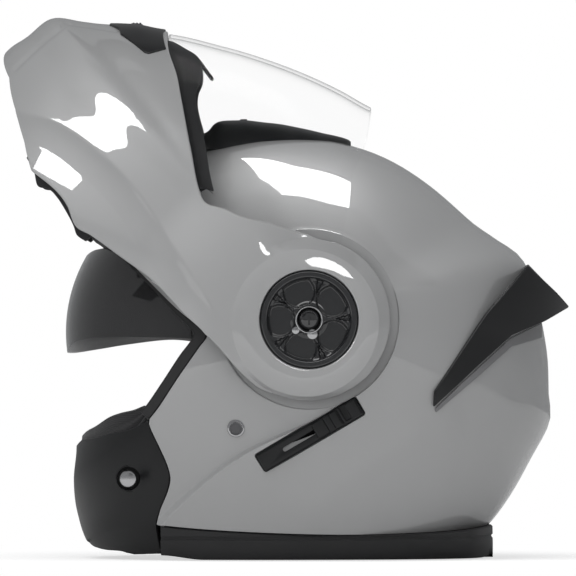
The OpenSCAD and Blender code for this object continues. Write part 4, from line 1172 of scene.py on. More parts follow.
# %% Vent knob and release button
def pressed_part(name, at, tilt, length, width, low, high, edge=0.5, crown=0.25, count=72):
    """A moulded button: a rounded oblong with a softly crowned face, from low to high mm above its place."""
    turn = np.linspace(0, 2 * np.pi, count + 1)
    c, s = np.cos(turn), np.sin(turn)
    u, v = np.sign(c) * abs(c) ** 0.34, np.sign(s) * abs(s) ** 0.34
    half, rows = length / 2, []
    for inset, height in ((half * 0.98, low), (0, low), (0, high - edge), (edge * 0.3, high - edge * 0.3),
                          (edge, high), (half * 0.55, high + crown * 0.8), (half * 0.98, high + crown)):
        x, z = u * (half - inset), np.full(count + 1, float(height))
        t = math.radians(tilt)
        rows.append(np.stack([at[0] + x * math.cos(t) + z * math.sin(t), v * (width / 2 - inset),
                              at[1] - x * math.sin(t) + z * math.cos(t)], -1))
    piece = grid(name, np.array(rows))
    weld(piece)
    round_edges(piece, 0)
    return piece


knob_parts = [pressed_part("slider_foot", (-103, 176.6), 5, 7, 20, -1.2, 0.5, 0.3)]
knob_parts += [pressed_part("rib", (-103 + x, 176.9), 5, 1.1, 17, 0, 0.75, 0.2, 0.05, 40)
               for x in (-2, 0, 2)]
vent_knob = join("chin_vent_knob", knob_parts)
stand_in(vent_knob, "chin_vent_slider_body", "grey_plastic", "chin_vent_slider")
BUTTON = (-174.4, 164.7)
button_parts = [pressed_part("button_face", BUTTON, -36.2, 8.6, 25.6, -5.9, -0.5, 0.8, 0.3),
                pressed_part("button_flange", BUTTON, -36.2, 12.6, 29.6, -7.5, -5.9, 0.3, 0)]
button = join("release_button_face", button_parts)
stand_in(button, "release_button_body", "black_plastic", "release_button")
print("release button and vent knob:", len(button_parts) + len(knob_parts), "mouldings")

# %% [markdown]
# ## The chin curtain
# A strip of cloth hangs along the chin bar's lower edge and keeps the wind out. It hardly moves, so it is
# modelled as a thin band under the chin bar's skin and not simulated.

# %% Chin curtain
CURTAIN_OUT = smooth_line([(-168, 96), (-163.6, 88.2), (-161.2, 79.2), (-154.6, 77.4), (-149.8, 72.6),
                           (-146, 67), (-142, 60), (-139.6, 55), (-137.6, 49.8), (-132.4, 46.2)], 5)
CURTAIN_IN = smooth_line([(-164, 102), (-158, 96), (-152, 88), (-145, 79), (-140, 71.5), (-136, 64),
                          (-132, 56), (-129, 49.5)], 5)
curtain = between(chin, CURTAIN_OUT, CURTAIN_IN, 12, 80, d=5.4, edge=(0.6, 0.6))
hem = grid("chin_cloth", curtain)
skin_piece(hem, 1.4, 0.4)
stand_in(hem, "chin_bar_group", "cloth", "chin_curtain")

# %% [markdown]
# ## The spoiler and the strip under it
# The spoiler is a black moulding on the back, running out to a tip on each side. It is one sheet between a
# front and a rear edge, laid on a skin a little outside the shell. A grey strip, where the air leaves the
# helmet, lies under its rear edge.

# %% Spoiler
WING_FRONT = np.array([(131.6, 33), (105.8, 3.6), (90, -19.5), (74.6, -42.6), (74, -52)])
WING_REAR = np.array([(147.8, 16.2), (156.2, 7.2), (141.2, -1.2), (120.8, -9.6), (100, -28), (74, -52)])
share = np.linspace(0, 1, 40)[:, None, None]
wing_grid = along(WING_FRONT, 70) * (1 - share) + along(WING_REAR, 70) * share
wing_grid = spread(spoiler.over(wing_grid[..., 0], wing_grid[..., 1]), 26, 0.8, 0.8)
wing_grid[:, 0, 1] = 0.0
wing_skin = grid("spoiler_wing", wing_grid)
skin_piece(wing_skin, 2.6, 0.7, quality=False)
stand_in(wing_skin, "shell", "black_plastic", "rear_spoiler")

# %% Exhaust strip
STRIP_UP = np.array([(139.5, -2.2), (120.8, -10.8), (100, -29.2), (75, -52.6)])
STRIP_LOW = np.array([(139.5, -11.2), (120.8, -16.2), (102.8, -31.9), (75.4, -55.2)])
strip = between(shell, STRIP_UP, STRIP_LOW, 10, 70, d=-1.4, edge=(0.5, 0.5))
strip_piece = grid("exhaust_skin", strip)
skin_piece(strip_piece, 1.4, 0.4, quality=False)
stand_in(strip_piece, "shell", "strip_plastic", "exhaust_strip")

# %% [markdown]
# ## The top vent
# A raised scoop on the crown lets air in, and a long tail runs back from it. It is lofted like a boat's hull:
# at each station along the crown there are a half width, a height and the height of its foot.

# %% Top vent
VENT_STATIONS = [(-63, 23, 111.2, 108), (-60, 27, 113, 108), (-56.5, 29.5, 117, 108), (-52, 31, 118.8, 108),
                 (-44, 31.8, 119.2, 108), (-37, 32, 119.2, 108), (-27, 31.2, 118, 108),
                 (-17, 30, 116.9, 108), (-7, 27, 115, 107), (1, 25.2, 113.3, 106.5), (9, 22.5, 111.4, 106),
                 (17, 19, 109.7, 105.5), (23, 14.5, 107.9, 105), (25.5, 9, 106.2, 104)]
u = np.linspace(-1, 1, 41)
bulge = (1 - abs(u) ** 3.4) ** (1 / 1.7)
hull = np.array([np.stack([np.full(41, float(x)), half_w * u, foot - 6 + (top - foot + 6) * bulge], -1)
                 for x, half_w, top, foot in VENT_STATIONS])
hull = np.array([smooth_line(hull[:, c], 5) for c in range(41)]).transpose(1, 0, 2)
top_vent = grid("top_vent_scoop", hull)
skin_piece(top_vent, 2.0, 0.6, mirror=False, quality=False)
stand_in(top_vent, "shell", "black_plastic", "top_vent_base")

# %% [markdown]
# ## Side caps
# The cap over each pivot has a raised ring, and five spokes between five round hollows. Cutting the hollows
# out would leave sharp rims. So the face is a round grid, and each point's depth is a sum of soft steps.

# %% Side caps
LOBE_AT, LOBE_R, BOWL_R = 17.4, 9.9, 24.3     # hollows: their distance, radius and outermost reach, mm


def cap_face(r, a):
    """Depth of the cap's face: a raised ring, five spokes with a groove each, five round hollows."""
    x, z = r * np.cos(a), r * np.sin(a)
    y = np.full(r.shape, -124.9)
    bowl = BOWL_R - r
    for k in range(5):
        lobe = math.radians(38 + 72 * k)
        inside_lobe = LOBE_R - np.hypot(x - LOBE_AT * math.cos(lobe), z - LOBE_AT * math.sin(lobe))
        y = y + 2.9 * ramp(np.minimum(inside_lobe, bowl) / 1.3)
        spoke = math.radians(2 + 72 * k)
        out = x * math.cos(spoke) + z * math.sin(spoke)
        beside_it = abs(-x * math.sin(spoke) + z * math.cos(spoke))
        groove = np.where(out > 0, (out - 13.6) * 0.22 - beside_it, -1)
        y = y + 2.0 * ramp(np.minimum(groove, bowl) / 0.9)
    y = y + 0.7 * ramp((r - 9.8) / 1.4) * ramp((24.5 - r) / 1.2)
    y = y - 1.2 * ramp((r - 24.2) / 1.3)
    return y + 1.1 * ramp((r - 27.7) / 1.2) ** 2


ring_r = np.concatenate([[7.7, 7.9], np.linspace(8.3, 24.0, 56), np.linspace(24.3, 28.9, 18)])
ring_a = np.linspace(0, 2 * np.pi, 289)
rr, aa = np.meshgrid(ring_r, ring_a, indexing="ij")
face = np.stack([rr * np.cos(aa), cap_face(rr, aa), rr * np.sin(aa)], -1)
back = []
for edge, y in ((face[-1:], -122.6), (face[-1:], -121.1), (face[:1], -121.1), (face[:1], -122.6)):
    back.append(edge.copy())
    back[-1][..., 1] = y
cap = grid("side_cap_left_skin", np.concatenate([face, *back, face[:1]]))
weld(cap)
round_edges(cap, 0)
cap_far = other_side(cap, "side_cap_right_skin")
stand_in(cap, "chin_bar_group", "gloss_black", "side_cap_left")
stand_in(cap_far, "chin_bar_group", "gloss_black", "side_cap_right")
print("caps:", len(cap.data.polygons), "faces each")

# %% [markdown]
# ## Pivot screws, hub rings and rivets
# A domed screw with a cross slot closes each pivot, with a thin steel ring and two small lugs round it. A
# steel rivet with a plastic disc in its head holds each end of the chin strap. All of them are turned.

# %% Pivot screws and hub rings
screw = lathe("pivot_screw_left", [(0, -125.9), (2.2, -125.75), (4.2, -125.1), (5.6, -124.0),
                                   (6.6, -122.6), (6.9, -121.2), (6.9, -120.6), (3, -120.6), (3, -103),
                                   (0, -103)], (0, 0))
for slot_x, slot_z in ((3.2, 0.5), (0.5, 3.2)):
    bpy.ops.mesh.primitive_cube_add(size=1, location=(PIVOT[0] / 1000, -0.1262, PIVOT[2] / 1000),
                                    scale=(slot_x * 0.002, 0.0026, slot_z * 0.002))
    bpy.ops.object.transform_apply(location=True, rotation=True, scale=True)
    carve(screw, bpy.context.object)
shade(screw, 35)
screw_far = other_side(screw, "pivot_screw_right")
hub = lathe("hub_ring_left", [(7.15, -125.2), (7.3, -125.75), (7.7, -125.95), (8.1, -125.75),
                              (8.25, -125.2), (8.2, -124.2), (7.2, -124.2), (7.15, -125.2)], (0, 0))
lugs = [lathe("lug", [(0, -125.5), (size - 0.5, -125.45), (size - 0.1, -125.2), (size, -124.2),
                      (0, -124.2)], at, 40)
        for size, at in ((2.3, (-7.9, -6.3)), (3.1, (2.0, -8.6)))]
hub = join("hub_ring_left", [hub, *lugs])
hub_far = other_side(hub, "hub_ring_right")
stand_in(hub, "chin_bar_group", "steel")
stand_in(hub_far, "chin_bar_group", "steel")

# %% Strap rivets
RIVET = (-43.2, -64.4)
RIVET_HEAD = [(0, -0.3), (3.3, -0.3), (3.7, -0.7), (4.2, -1.2), (4.9, -1.0), (5.3, -0.3), (5.35, 0.8),
              (2.6, 1.0), (2.6, 14), (0, 14)]      # (radius, depth under the shell's skin)
RIVET_DISC = [(0, -0.75), (2.2, -0.7), (3.2, -0.45), (3.3, -0.2)]
rivet_y = shell.over(*RIVET)[1]
rivet = lathe("strap_rivet_left", [(radius, rivet_y + depth) for radius, depth in RIVET_HEAD], RIVET)
disc_in = lathe("rivet_disc_left", [(radius, rivet_y + depth) for radius, depth in RIVET_DISC], RIVET)
rivet_far = other_side(rivet, "strap_rivet_right")
disc_far = other_side(disc_in, "rivet_disc_right")
for part, look, gone in ((screw, "dark_steel", ["pivot_screws"]), (screw_far, "dark_steel", ["pivot_screws"]),
                         (rivet, "steel", ["strap_rivets"]), (rivet_far, "steel", ["strap_rivets"]),
                         (disc_in, "grey_plastic", []), (disc_far, "grey_plastic", [])):
    stand_in(part, "shell", look, *gone)
print(f"rivets: the shell's skin lies {-rivet_y:.1f} mm out there")

# %% [markdown]
# ## The sun visor's slider
# A plate lies flush in the shell's recess. It has a long slot, and a stepped thumb piece slides along it.
# Both are joined from blocks with rounded corners, and turned to the slope that they have in the photograph.

# %% Slider
plate = block("slider_plate_body", (-34.4, 34.4), (-6.1, 6.1), (-2.0, 0.2), 1.6)
carve(plate, block("slot", (-18.4, 12.0), (-1.35, 1.35), (-6, 6), 1.2))
end = block("plate_end", (20.6, 33.2), (-5.3, 5.3), (-0.4, 1.5), 1.0)
carve(end, block("dish", (22.4, 26.4), (-4.1, 8), (0.7, 3), 0.6))
rail_low = block("rail_low", (-32.6, 20), (-6.0, -5.5), (0, 0.55))
rail_top = block("rail_top", (-32.6, 20), (5.5, 6.0), (0, 0.55))
plate = join("slider_plate_body", [plate, end, rail_low, rail_top])
on_plate(plate)
round_edges(plate, 0.22, 2)
stand_in(plate, "shell", "black_plastic", "slider_plate")
steps = [block("step_low", (3.2, 11.6), (-5.0, 5.0), (0.35, 1.35), 0.9),
         block("step_high", (11.2, 15.2), (-5.0, 5.0), (0.35, 2.5), 0.6),
         block("step_mid", (14.8, 20.0), (-5.0, 5.0), (0.35, 1.9), 0.9),
         block("stem", (4.4, 11.6), (-1.2, 1.2), (-1.9, 0.6))]
knob = on_plate(join("slider_knob_body", steps))
round_edges(knob, 0.3, 3)
stand_in(knob, "slider_knob_body", "black_plastic", "slider_knob")
print("slider:", len(plate.data.polygons), "faces, its thumb piece", len(knob.data.polygons))

# %% [markdown]
# ## Pads and linings
# Inside the shell sits a foam liner, and on it lie a crown pad, two thick cheek pads and a roll round the
# neck, each of foam with a cover sewn from panels. A pad is grown from the room it has in the shell: drawn in
# a little, wrapped evenly, held where it lies against the foam and blown up until its cover is taut. The
# seams are sewn afterwards, because the even wrapping would lose them.

# %% Points and copies of loaded parts
def read_points(mesh, what="co"):
    """The places of a mesh's points, or their normals."""
    values = np.empty(len(mesh.vertices) * 3, np.float32)
    mesh.vertices.foreach_get(what, values)
    return values.reshape(-1, 3).astype(float)


def move_points(piece, co):
    piece.data.vertices.foreach_set("co", np.ascontiguousarray(co, dtype=np.float32).ravel())
    piece.data.update()


def copied(name, part):
    """A mesh of its own with the form of one part of the assembly."""
    source = frame["nodes"][part]
    mesh = bpy.data.meshes.new_from_object(source)
    mesh.transform(source.matrix_world)
    mesh.materials.clear()
    piece = bpy.data.objects.new(name, mesh)
    mesh.name = name
    bpy.context.scene.collection.objects.link(piece)
    return piece


# %% Moulded foam, and hard parts
def moulded(name, part, voxel, draw_in, smooth):
    """Foam moulded in one piece: the form of its part with every edge eased, as it leaves its mould."""
    piece = copied(name, part)
    modifier(piece, "REMESH", mode="VOXEL", voxel_size=voxel / 1000)
    modifier(piece, "SMOOTH", factor=0.5, iterations=smooth)
    if draw_in:
        modifier(piece, "DISPLACE", strength=-draw_in / 1000, mid_level=0.0)
    only(piece)
    bpy.ops.object.shade_smooth()
    return piece


def eased(name, part, width):
    """A hard part with its edges rounded."""
    piece = copied(name, part)
    weld(piece, 0.00001)
    round_edges(piece, width, 2, 32)
    return piece


# %% Stuffed pads and their seams
PUFF_FRAMES = 20                              # frames in which a cover is blown up


def stuffed(name, part, voxel=4.5, draw_in=1.6, rise=5.0, pressure=4.0, smooth=8, finer=1):
    """A pad with a taut cover, in the room of one part of the assembly. Lengths in mm."""
    piece = copied(name, part)
    modifier(piece, "REMESH", mode="VOXEL", voxel_size=voxel / 1000)
    modifier(piece, "SMOOTH", factor=0.5, iterations=smooth)
    modifier(piece, "DISPLACE", strength=-draw_in / 1000, mid_level=0.0)
    start, n = read_points(piece.data), read_points(piece.data, "normal")
    out = start - PIVOT / 1000
    out /= np.linalg.norm(out, axis=1, keepdims=True)
    held = piece.vertex_groups.new(name="held")
    held.add([int(i) for i in np.nonzero((n * out).sum(1) > 0.3)[0]], 1.0, "REPLACE")
    only(piece)
    bpy.ops.object.modifier_add(type="CLOTH")
    cloth = piece.modifiers[-1]
    cloth.settings.use_pressure = True
    cloth.settings.uniform_pressure_force = pressure
    cloth.settings.effector_weights.gravity = 0
    cloth.settings.vertex_group_mass = "held"
    cloth.collision_settings.use_collision = False
    cloth.point_cache.frame_start, cloth.point_cache.frame_end = 1, PUFF_FRAMES
    for step in range(1, PUFF_FRAMES + 1):
        bpy.context.scene.frame_set(step)
    end = read_points(piece.evaluated_get(bpy.context.evaluated_depsgraph_get()).data)
    piece.modifiers.remove(cloth)
    bpy.context.scene.frame_set(1)
    way = end - start
    far = np.linalg.norm(way, axis=1, keepdims=True)
    way *= np.minimum(1, rise / 1000 / np.maximum(far, 1e-9))
    move_points(piece, start + way)
    piece.vertex_groups.clear()
    print(f"{name}: cover rose by up to {far.max() * 1000:.1f} mm, kept to {rise} mm")
    modifier(piece, "SUBSURF", levels=finer, render_levels=finer)
    only(piece)
    bpy.ops.object.shade_smooth()
    return piece


def sewn(piece, line, depth, width):
    """Draws a seam into a pad along a line in the side view, in mm from the pivots."""
    co, n = read_points(piece.data) * 1000 - PIVOT, read_points(piece.data, "normal")
    dip = depth * np.exp(-(beside(co, line)[0] / width) ** 2)
    dip = dip * ramp(-(n * co).sum(1) / np.linalg.norm(co, axis=1) * 2 + 0.6)   # the inner side only
    move_points(piece, (co - n * dip[:, None] + PIVOT) / 1000)


# %% [markdown]
# ## Foam
# The liner that takes the blow is stiff white foam moulded in one piece, painted dark. The chin bar has its
# own, and the breath guard is of soft rubber. They need no cover, only the soft edges of a moulding, so their
# parts are remeshed and smoothed.

# %% The foam behind the pads, and in the chin bar
foam = moulded("eps_liner_foam", "eps_liner", 3.0, 1.5, 5)
stand_in(foam, "shell", "foam", "eps_liner")
chin_foam = moulded("chin_bar_foam", "chin_bar_liner", 2.5, 0.7, 5)
stand_in(chin_foam, "chin_bar_group", "foam", "chin_bar_liner")
breath = moulded("breath_guard", "breath_deflector", 0.9, 0.0, 3)
stand_in(breath, "chin_bar_group", "seal_rubber", "breath_deflector")
print("foam:", len(foam.data.polygons), "and", len(chin_foam.data.polygons), "faces")

# %% [markdown]
# ## Small hard parts
# Hooks, pins, plates, the buckle and its lever are already exact in the CAD model. They only lack what a
# machine or a mould leaves: edges rounded by a few tenths of a mm.

# %% Small hard parts with their edges rounded
for part, body, look, width in (("latch_hook_left", "latch_hook_left_body", "steel", 0.3),
                                ("latch_hook_right", "latch_hook_right_body", "steel", 0.3),
                                ("latch_pins", "chin_bar_group", "steel", 0.2),
                                ("sun_visor_pins", "shell", "black_plastic", 0.15),
                                ("pivot_plate_left", "shell", "grey_plastic", 0.3),
                                ("pivot_plate_right", "shell", "grey_plastic", 0.3),
                                ("buckle_body", "shell", "black_plastic", 0.5),
                                ("buckle_lever", "buckle_lever_body", "red_plastic", 0.4),
                                ("top_vent_slider", "top_vent_slider_body", "black_plastic", 0.35)):
    piece = eased(part + "_detail", part, width)
    stand_in(piece, body, look, part)
    print(f"{piece.name}: {len(piece.data.polygons)} faces")

# %% [markdown]
# ## Cheek pads
# The cheek pads are the thickest ones. Each has a seam round the panel that touches the cheek and one across
# it. The far pad is the mirrored near one.

# %% Cheek pads
CHEEK_EDGE = smooth_line([(-74, -103), (-77, -85), (-75, -60), (-64, -34), (-54, -20), (-34, -17),
                          (-22, -42), (-15, -60), (-15, -96), (-26, -105), (-50, -106), (-74, -103)], 4)
cheek = stuffed("cheek_pad_left_cover", "cheek_pad_left", voxel=4.0, draw_in=1.4, rise=5.0, finer=2)
middle = CHEEK_EDGE.mean(0)
sewn(cheek, middle + (CHEEK_EDGE - middle) * 0.80, 2.0, 1.5)
sewn(cheek, [(-72, -62), (-50, -66), (-17, -66)], 2.2, 1.7)
far_cheek = other_side(cheek, "cheek_pad_right_cover")
for piece, part in ((cheek, "cheek_pad_left"), (far_cheek, "cheek_pad_right")):
    stand_in(piece, "shell", "cloth", part)

# %% [markdown]
# ## Crown pad
# The crown pad is sewn from strips that run across the head, so it has four seams over it.

# %% Crown pad
crown = stuffed("crown_pad_cover", "crown_pad", voxel=5.0, draw_in=0.8, rise=4.0, smooth=3, finer=1)
for x in (-34, -4, 26, 56):
    sewn(crown, [(x, 0), (x, 130)], 1.5, 2.2)
stand_in(crown, "shell", "cloth", "crown_pad")

# %% [markdown]
# ## Neck roll
# The neck roll closes the helmet round the nape. One seam runs along it, where its two panels meet.

# %% Neck roll
neck = stuffed("neck_roll_cover", "neck_roll", voxel=4.0, draw_in=0.8, rise=4.0, smooth=4, finer=1)
sewn(neck, [(25, -107), (80, -104), (140, -96)], 1.8, 1.6)
stand_in(neck, "shell", "cloth", "neck_roll")

# %% [markdown]
# ## Lining of the chin base
# A thin quilted cloth pad lies inside the chin base and shows over its edge. It is a band on the chin base's
# own skin, a few mm under it. Two soft waves along it make the quilting.

# %% Lining of the chin base
LINER_UP = smooth_line([(-136.2, -70.5), (-133, -67.2), (-128.2, -64.6), (-120.4, -59.4), (-113.2, -56.8),
                        (-106, -55.2), (-99.6, -52.6)], 8)
LINER_DOWN = smooth_line([(-138, -84), (-128, -88), (-116, -90), (-104, -84), (-96.5, -70), (-94.6, -62)],
                         8)
soft_grid = between(base, LINER_UP, LINER_DOWN, 26, 90, d=3.9, edge=(1.0, 1.0))
soft_grid[:, 0, 1] = 0.0
along_it = np.linspace(0, 1, soft_grid.shape[0])[:, None]
quilting = 0.7 * np.sin(np.pi * along_it) * abs(np.sin(along_it * 13))
soft_grid = soft_grid + normals(soft_grid) * quilting[..., None]
chin_soft = grid("chin_base_cloth", soft_grid)
skin_piece(chin_soft, 4.2, 0)
stand_in(chin_soft, "shell", "cloth", "chin_base_lining")

# %% [markdown]
# ## Chin straps
# Flat woven webbing, riveted to the shell inside the cheeks, led down beside the jaw and joined under the
# chin by a lever buckle. It is bent from one strip; its two edges are a little thicker, as a woven selvedge
# is, and a row of stitches runs beside each of them.

# %% Webbing along a path
STRAP_W, STRAP_T = 24.0, 2.0                  # webbing, mm wide and thick
strap_y = 119 - 16.8                          # how far out its upper end hangs, inside shell and foam
STRAP_PATH = [(0, -52), (0, -62), (0, -71), (1.3, -80), (3.2, -91), (5.7, -103), (12.2, -114),
              (24.2, -120.5)]
STRAP_PATH = [(y - strap_y, z) for y, z in STRAP_PATH] + [(-58, -124.5)]


def strap(name, path):
    """Webbing along a path of (y, z), below the rivet on the near side."""
    line = smooth_line(path, 9)
    tangent = np.gradient(line, axis=0)
    tangent /= np.linalg.norm(tangent, axis=1, keepdims=True)
    up = np.stack([-tangent[:, 1], tangent[:, 0]], 1)
    across = np.linspace(-1, 1, 29)
    out = abs(across)                           # 0 in the middle of the webbing, 1 at its edges
    thick = STRAP_T / 2 * (0.78 + 0.22 * ramp((out - 0.78) * 10))               # the thicker selvedges
    thick = thick * np.sqrt(np.clip(1 - ((out - 0.93) / 0.07).clip(0, 1) ** 2 * 0.75, 0, 1))
    thick -= 0.22 * np.exp(-((out - 0.74) / 0.035) ** 2)                        # the rows of stitches
    sides = []
    for sign in (1, -1):
        p = np.empty((len(line), len(across), 3))
        p[..., 0] = RIVET[0] + across * STRAP_W / 2
        p[..., 1] = line[:, None, 0] + sign * up[:, None, 0] * thick
        p[..., 2] = line[:, None, 1] + sign * up[:, None, 1] * thick
        sides.append(p)
    rim = np.concatenate([sides[0], sides[1][:, ::-1], sides[0][:, :1]], axis=1)
    piece = grid(name, rim)
    weld(piece)
    edit_mesh(piece, lambda: bpy.ops.mesh.select_mode(type="EDGE"), bpy.ops.mesh.select_non_manifold,
              bpy.ops.mesh.edge_face_add, start="DESELECT")
    weld(piece)
    round_edges(piece, 0)
    print(f"{name}: {lengths(line)[-1]:.0f} mm long, {STRAP_W:.0f} mm wide")
    return piece


near_strap = strap("chin_strap_left_webbing", STRAP_PATH + [(-36, -127), (-2.5, -129)])
far_strap = strap("strap_far", STRAP_PATH + [(-38.5, -126.5)])
turned = other_side(far_strap, "chin_strap_right_webbing")
bpy.data.objects.remove(far_strap)
stand_in(near_strap, "shell", "webbing", "chin_strap_left")
stand_in(turned, "shell", "webbing", "chin_strap_right")

# %% [markdown]
# ## Camera
# The photograph is a product shot from straight beside the helmet, taken from far away: the far side hardly
# shows. An orthographic camera would be simpler, but it has no perspective at all. So a long lens is used,
# 8 m away, that shows 0.6 mm in each of the 576 pixels.

# %% Camera
CAMERA_AWAY, PICTURE_WIDTH, SENSOR = 8.0, 0.3456, 36     # metres, metres, mm
cam = bpy.data.cameras.new("camera")
camera = bpy.data.objects.new("camera", cam)
bpy.context.collection.objects.link(camera)
bpy.context.scene.camera = camera
cam.sensor_width, cam.clip_end = SENSOR, 60
cam.lens = SENSOR * CAMERA_AWAY / PICTURE_WIDTH
camera.location = (0.00058, -CAMERA_AWAY, 0.1614)
camera.rotation_euler = (math.radians(90), 0, 0)
print(f"camera: lens of {cam.lens:.0f} mm")

# %% [markdown]
# ## White surroundings
# The helmet was photographed in a white studio. Surroundings that are as bright as they look would wash out
# the black plastic, so the camera sees white where the parts receive a much weaker light.

# %% World
world = bpy.data.worlds.new("studio")
bpy.context.scene.world = world
world.use_nodes = True
wt = world.node_tree
wt.nodes.clear()
ray = node(wt, "ShaderNodeLightPath")
lit = node(wt, "ShaderNodeBackground", Color=(0.97, 0.985, 1, 1), Strength=0.27)
seen = node(wt, "ShaderNodeBackground", Color=(1, 1, 1, 1), Strength=1.0)
either = node(wt, "ShaderNodeMixShader", {0: ray.outputs["Is Camera Ray"], 1: lit.outputs[0],
                                          2: seen.outputs[0]})
node(wt, "ShaderNodeOutputWorld", {"Surface": either.outputs[0]})
print("surroundings: white to the camera, 0.27 to the parts")

# %% [markdown]
# ## Panels that make the highlights
# On gloss paint the lamps show as clear white shapes. Moving lamps until those shapes fit is slow. Here it is
# done backwards: where a highlight's corner lies in the photograph, the skin's slope there tells which way it
# mirrors to, and the panel's corner is put out there. Each panel is linked to the parts that it should show
# in, and it lights nothing.

# %% Reflector panels
PANEL_AWAY, SIDE_Y = 1.6, -95                 # metres from the surface; the surface's place across, mm


def reflector(name, mirrors, strength, *corners):
    """A white panel that only shows as a mirror image in the pieces named. A corner is a pixel of the
    photograph, where its image lies, and the way that the surface mirrors to from there."""
    mesh = bpy.data.meshes.new(name)
    places = []
    for px, py, *way in corners:
        x, z = from_photo((px, py))[0]
        out = np.array(way) / np.linalg.norm(way)
        places.append((np.array([x, SIDE_Y, z]) + PIVOT) / 1000 + out * PANEL_AWAY)
    mesh.from_pydata([tuple(p) for p in places], [], [tuple(range(len(places)))])
    piece = bpy.data.objects.new(name, mesh)
    bpy.context.scene.collection.objects.link(piece)
    m = bpy.data.materials.new(name)
    m.use_nodes = True
    m.node_tree.nodes.clear()
    shine = node(m.node_tree, "ShaderNodeEmission", Strength=strength)
    node(m.node_tree, "ShaderNodeOutputMaterial", {"Surface": shine.outputs[0]})
    mesh.materials.append(m)
    piece.visible_camera = piece.visible_diffuse = piece.visible_transmission = piece.visible_shadow = False
    seen_in = bpy.data.collections.new(name)
    for mirror in mirrors:
        seen_in.objects.link(mirror)
    piece.light_linking.receiver_collection = seen_in


# %% The seven panels
reflector("panel_for_the_crown", [outer_shell, clear], 9, (240, 159, -0.13, 0.71, 0.70),
          (293, 167, 0.06, 0.47, 0.88), (351, 183, 0.30, 0.31, 0.90), (345, 235, 0.34, -0.51, 0.79),
          (302, 220, 0.14, -0.46, 0.88), (260, 180, -0.13, 0.20, 0.97))
reflector("panel_for_the_chin", [chin_bar], 10, (114, 80, -0.22, -0.56, 0.80),
          (150, 118, -0.36, -0.84, 0.40), (107, 158, -0.66, -0.72, 0.26), (57, 118, -0.85, -0.42, 0.31))
reflector("panel_behind_the_pod", [outer_shell], 9, (365, 245, 0.40, -0.42, 0.81),
          (385, 258, 0.60, -0.44, 0.67), (395, 275, 0.56, -0.53, 0.64), (375, 262, 0.36, -0.52, 0.77))
reflector("panel_for_the_caps", [cap, chin_base, wing_skin, vent_cover], 2.4,
          (290, 290, -0.75, -0.45, 0.45), (330, 290, 0.75, -0.45, 0.45), (330, 290, 0.4, -0.1, 0.9),
          (290, 290, -0.4, -0.1, 0.9))
reflector("panel_for_the_arm_end", [chin_bar], 9, (304, 261, 0.0, -0.98, 0.19),
          (312, 258, 0.03, -0.97, 0.26), (322, 258.5, 0.07, -0.96, 0.28), (335, 263, 0.13, -0.96, 0.26),
          (345, 270, 0.17, -0.96, 0.23), (353, 279, 0.19, -0.97, 0.17), (343, 276, 0.10, -0.99, 0.12),
          (332, 271, 0.06, -0.99, 0.11), (320, 268, 0.02, -1.0, 0.07), (310, 266, 0.01, -1.0, 0.07))
SCREW_AT = (308, 319)                         # the near screw mirrors two small windows
reflector("panels_for_the_screw_1", [screw], 26, (*SCREW_AT, -0.44, -0.42, 0.79),
          (*SCREW_AT, -0.28, -0.42, 0.86), (*SCREW_AT, -0.28, -0.58, 0.76), (*SCREW_AT, -0.44, -0.58, 0.69))
reflector("panels_for_the_screw_2", [screw], 26, (*SCREW_AT, 0.22, -0.42, 0.88),
          (*SCREW_AT, 0.38, -0.42, 0.82), (*SCREW_AT, 0.38, -0.58, 0.72), (*SCREW_AT, 0.22, -0.58, 0.78))
print("reflector panels: 7")

# %% [markdown]
# ## Key lights
# Four softboxes light the helmet: over the head, beside it, before the face and a weak one behind. They are
# hidden from glossy surfaces, because the panels above already make the highlights.

# %% Key lights
KEY_AWAY, KEY_AIM = 2.6, Vector((0, 0, 0.17))
for name, direction, size, power in (("key_over_the_head", (-0.2, -0.3, 1.0), (2.2, 2.2), 33),
                                     ("key_beside", (0.1, -1.0, 0.15), (2.4, 1.8), 18),
                                     ("key_before_the_face", (-1.0, -0.9, 0.45), (1.6, 1.6), 9),
                                     ("key_behind", (0.8, 0.9, 0.6), (1.6, 1.6), 8)):
    light = bpy.data.lights.new(name, "AREA")
    light.shape, light.energy = "RECTANGLE", power
    light.size, light.size_y = size
    key = bpy.data.objects.new(name, light)
    bpy.context.collection.objects.link(key)
    key.location = KEY_AIM + Vector(direction).normalized() * KEY_AWAY
    key.rotation_euler = (KEY_AIM - key.location).to_track_quat("-Z", "Y").to_euler()
    key.visible_camera = key.visible_glossy = False
    print(f"{name}: {power} W")
bpy.context.scene.view_settings.view_transform = "Standard"

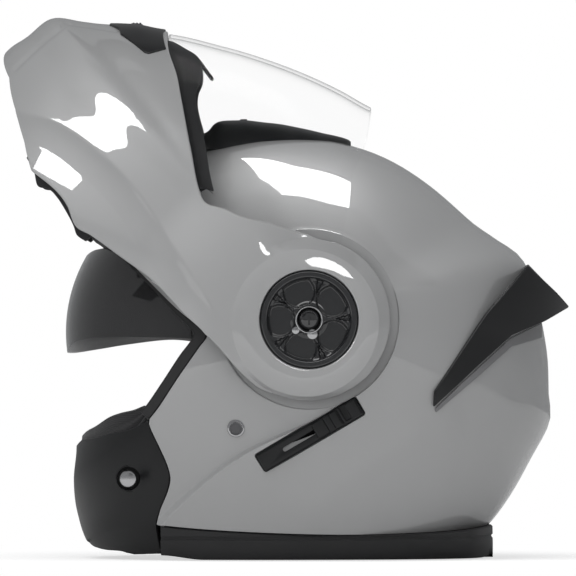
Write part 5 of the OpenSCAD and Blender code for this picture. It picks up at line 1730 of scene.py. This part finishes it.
# %% [markdown]
# ## Floor
# The photograph's ground is white, with a soft grey shadow at the rim only. A white floor would be greyed by
# the shadow all over. So the floor glows a little, and from 19 to 34 cm away it fades to plain white. Other
# rays than the camera's meet an ordinary matt floor.

# %% Floor
SHADE_TO, WHITE_FROM = 0.19, 0.34             # metres from the middle
bpy.ops.mesh.primitive_circle_add(vertices=96, radius=3.0, fill_type="NGON", location=(0, 0, -0.0004))
floor_piece = bpy.context.object
floor_piece.name = "floor"
fm = bpy.data.materials.new("floor")
fm.use_nodes = True
ft = fm.node_tree
ft.nodes.clear()
matt = node(ft, "ShaderNodeBsdfDiffuse", Color=(0.62, 0.62, 0.62, 1))
glow = node(ft, "ShaderNodeEmission", Strength=0.6)
shaded = node(ft, "ShaderNodeAddShader", {0: matt.outputs[0], 1: glow.outputs[0]})
white = node(ft, "ShaderNodeEmission", Strength=1.0)
place = node(ft, "ShaderNodeTexCoord")
away = node(ft, "ShaderNodeVectorMath", {0: place.outputs["Object"]}, operation="LENGTH")
fade = node(ft, "ShaderNodeMapRange", {"Value": away.outputs["Value"]}, interpolation_type="SMOOTHSTEP")
fade.inputs["From Min"].default_value = SHADE_TO
fade.inputs["From Max"].default_value = WHITE_FROM
to_camera = node(ft, "ShaderNodeMixShader", {0: fade.outputs["Result"], 1: shaded.outputs[0],
                                             2: white.outputs[0]})
ray = node(ft, "ShaderNodeLightPath")
plain = node(ft, "ShaderNodeBsdfDiffuse", Color=(0.8, 0.8, 0.8, 1))
ground = node(ft, "ShaderNodeMixShader", {0: ray.outputs["Is Camera Ray"], 1: plain.outputs[0],
                                          2: to_camera.outputs[0]})
node(ft, "ShaderNodeOutputMaterial", {"Surface": ground.outputs[0]})
floor_piece.data.materials.append(fm)
print("floor: white from", WHITE_FROM, "m on")

# %% [markdown]
# ## Looks of the loaded parts
# The loaded CAD parts, for which the finer pieces stand, get the same looks.

# %% Looks of the loaded parts
for part in frame["nodes"].values():
    for slot in part.material_slots:
        look = slot.material.name.split(".")[0] if slot.material else ""
        if look in MATERIALS:
            slot.material = MATERIALS[look]
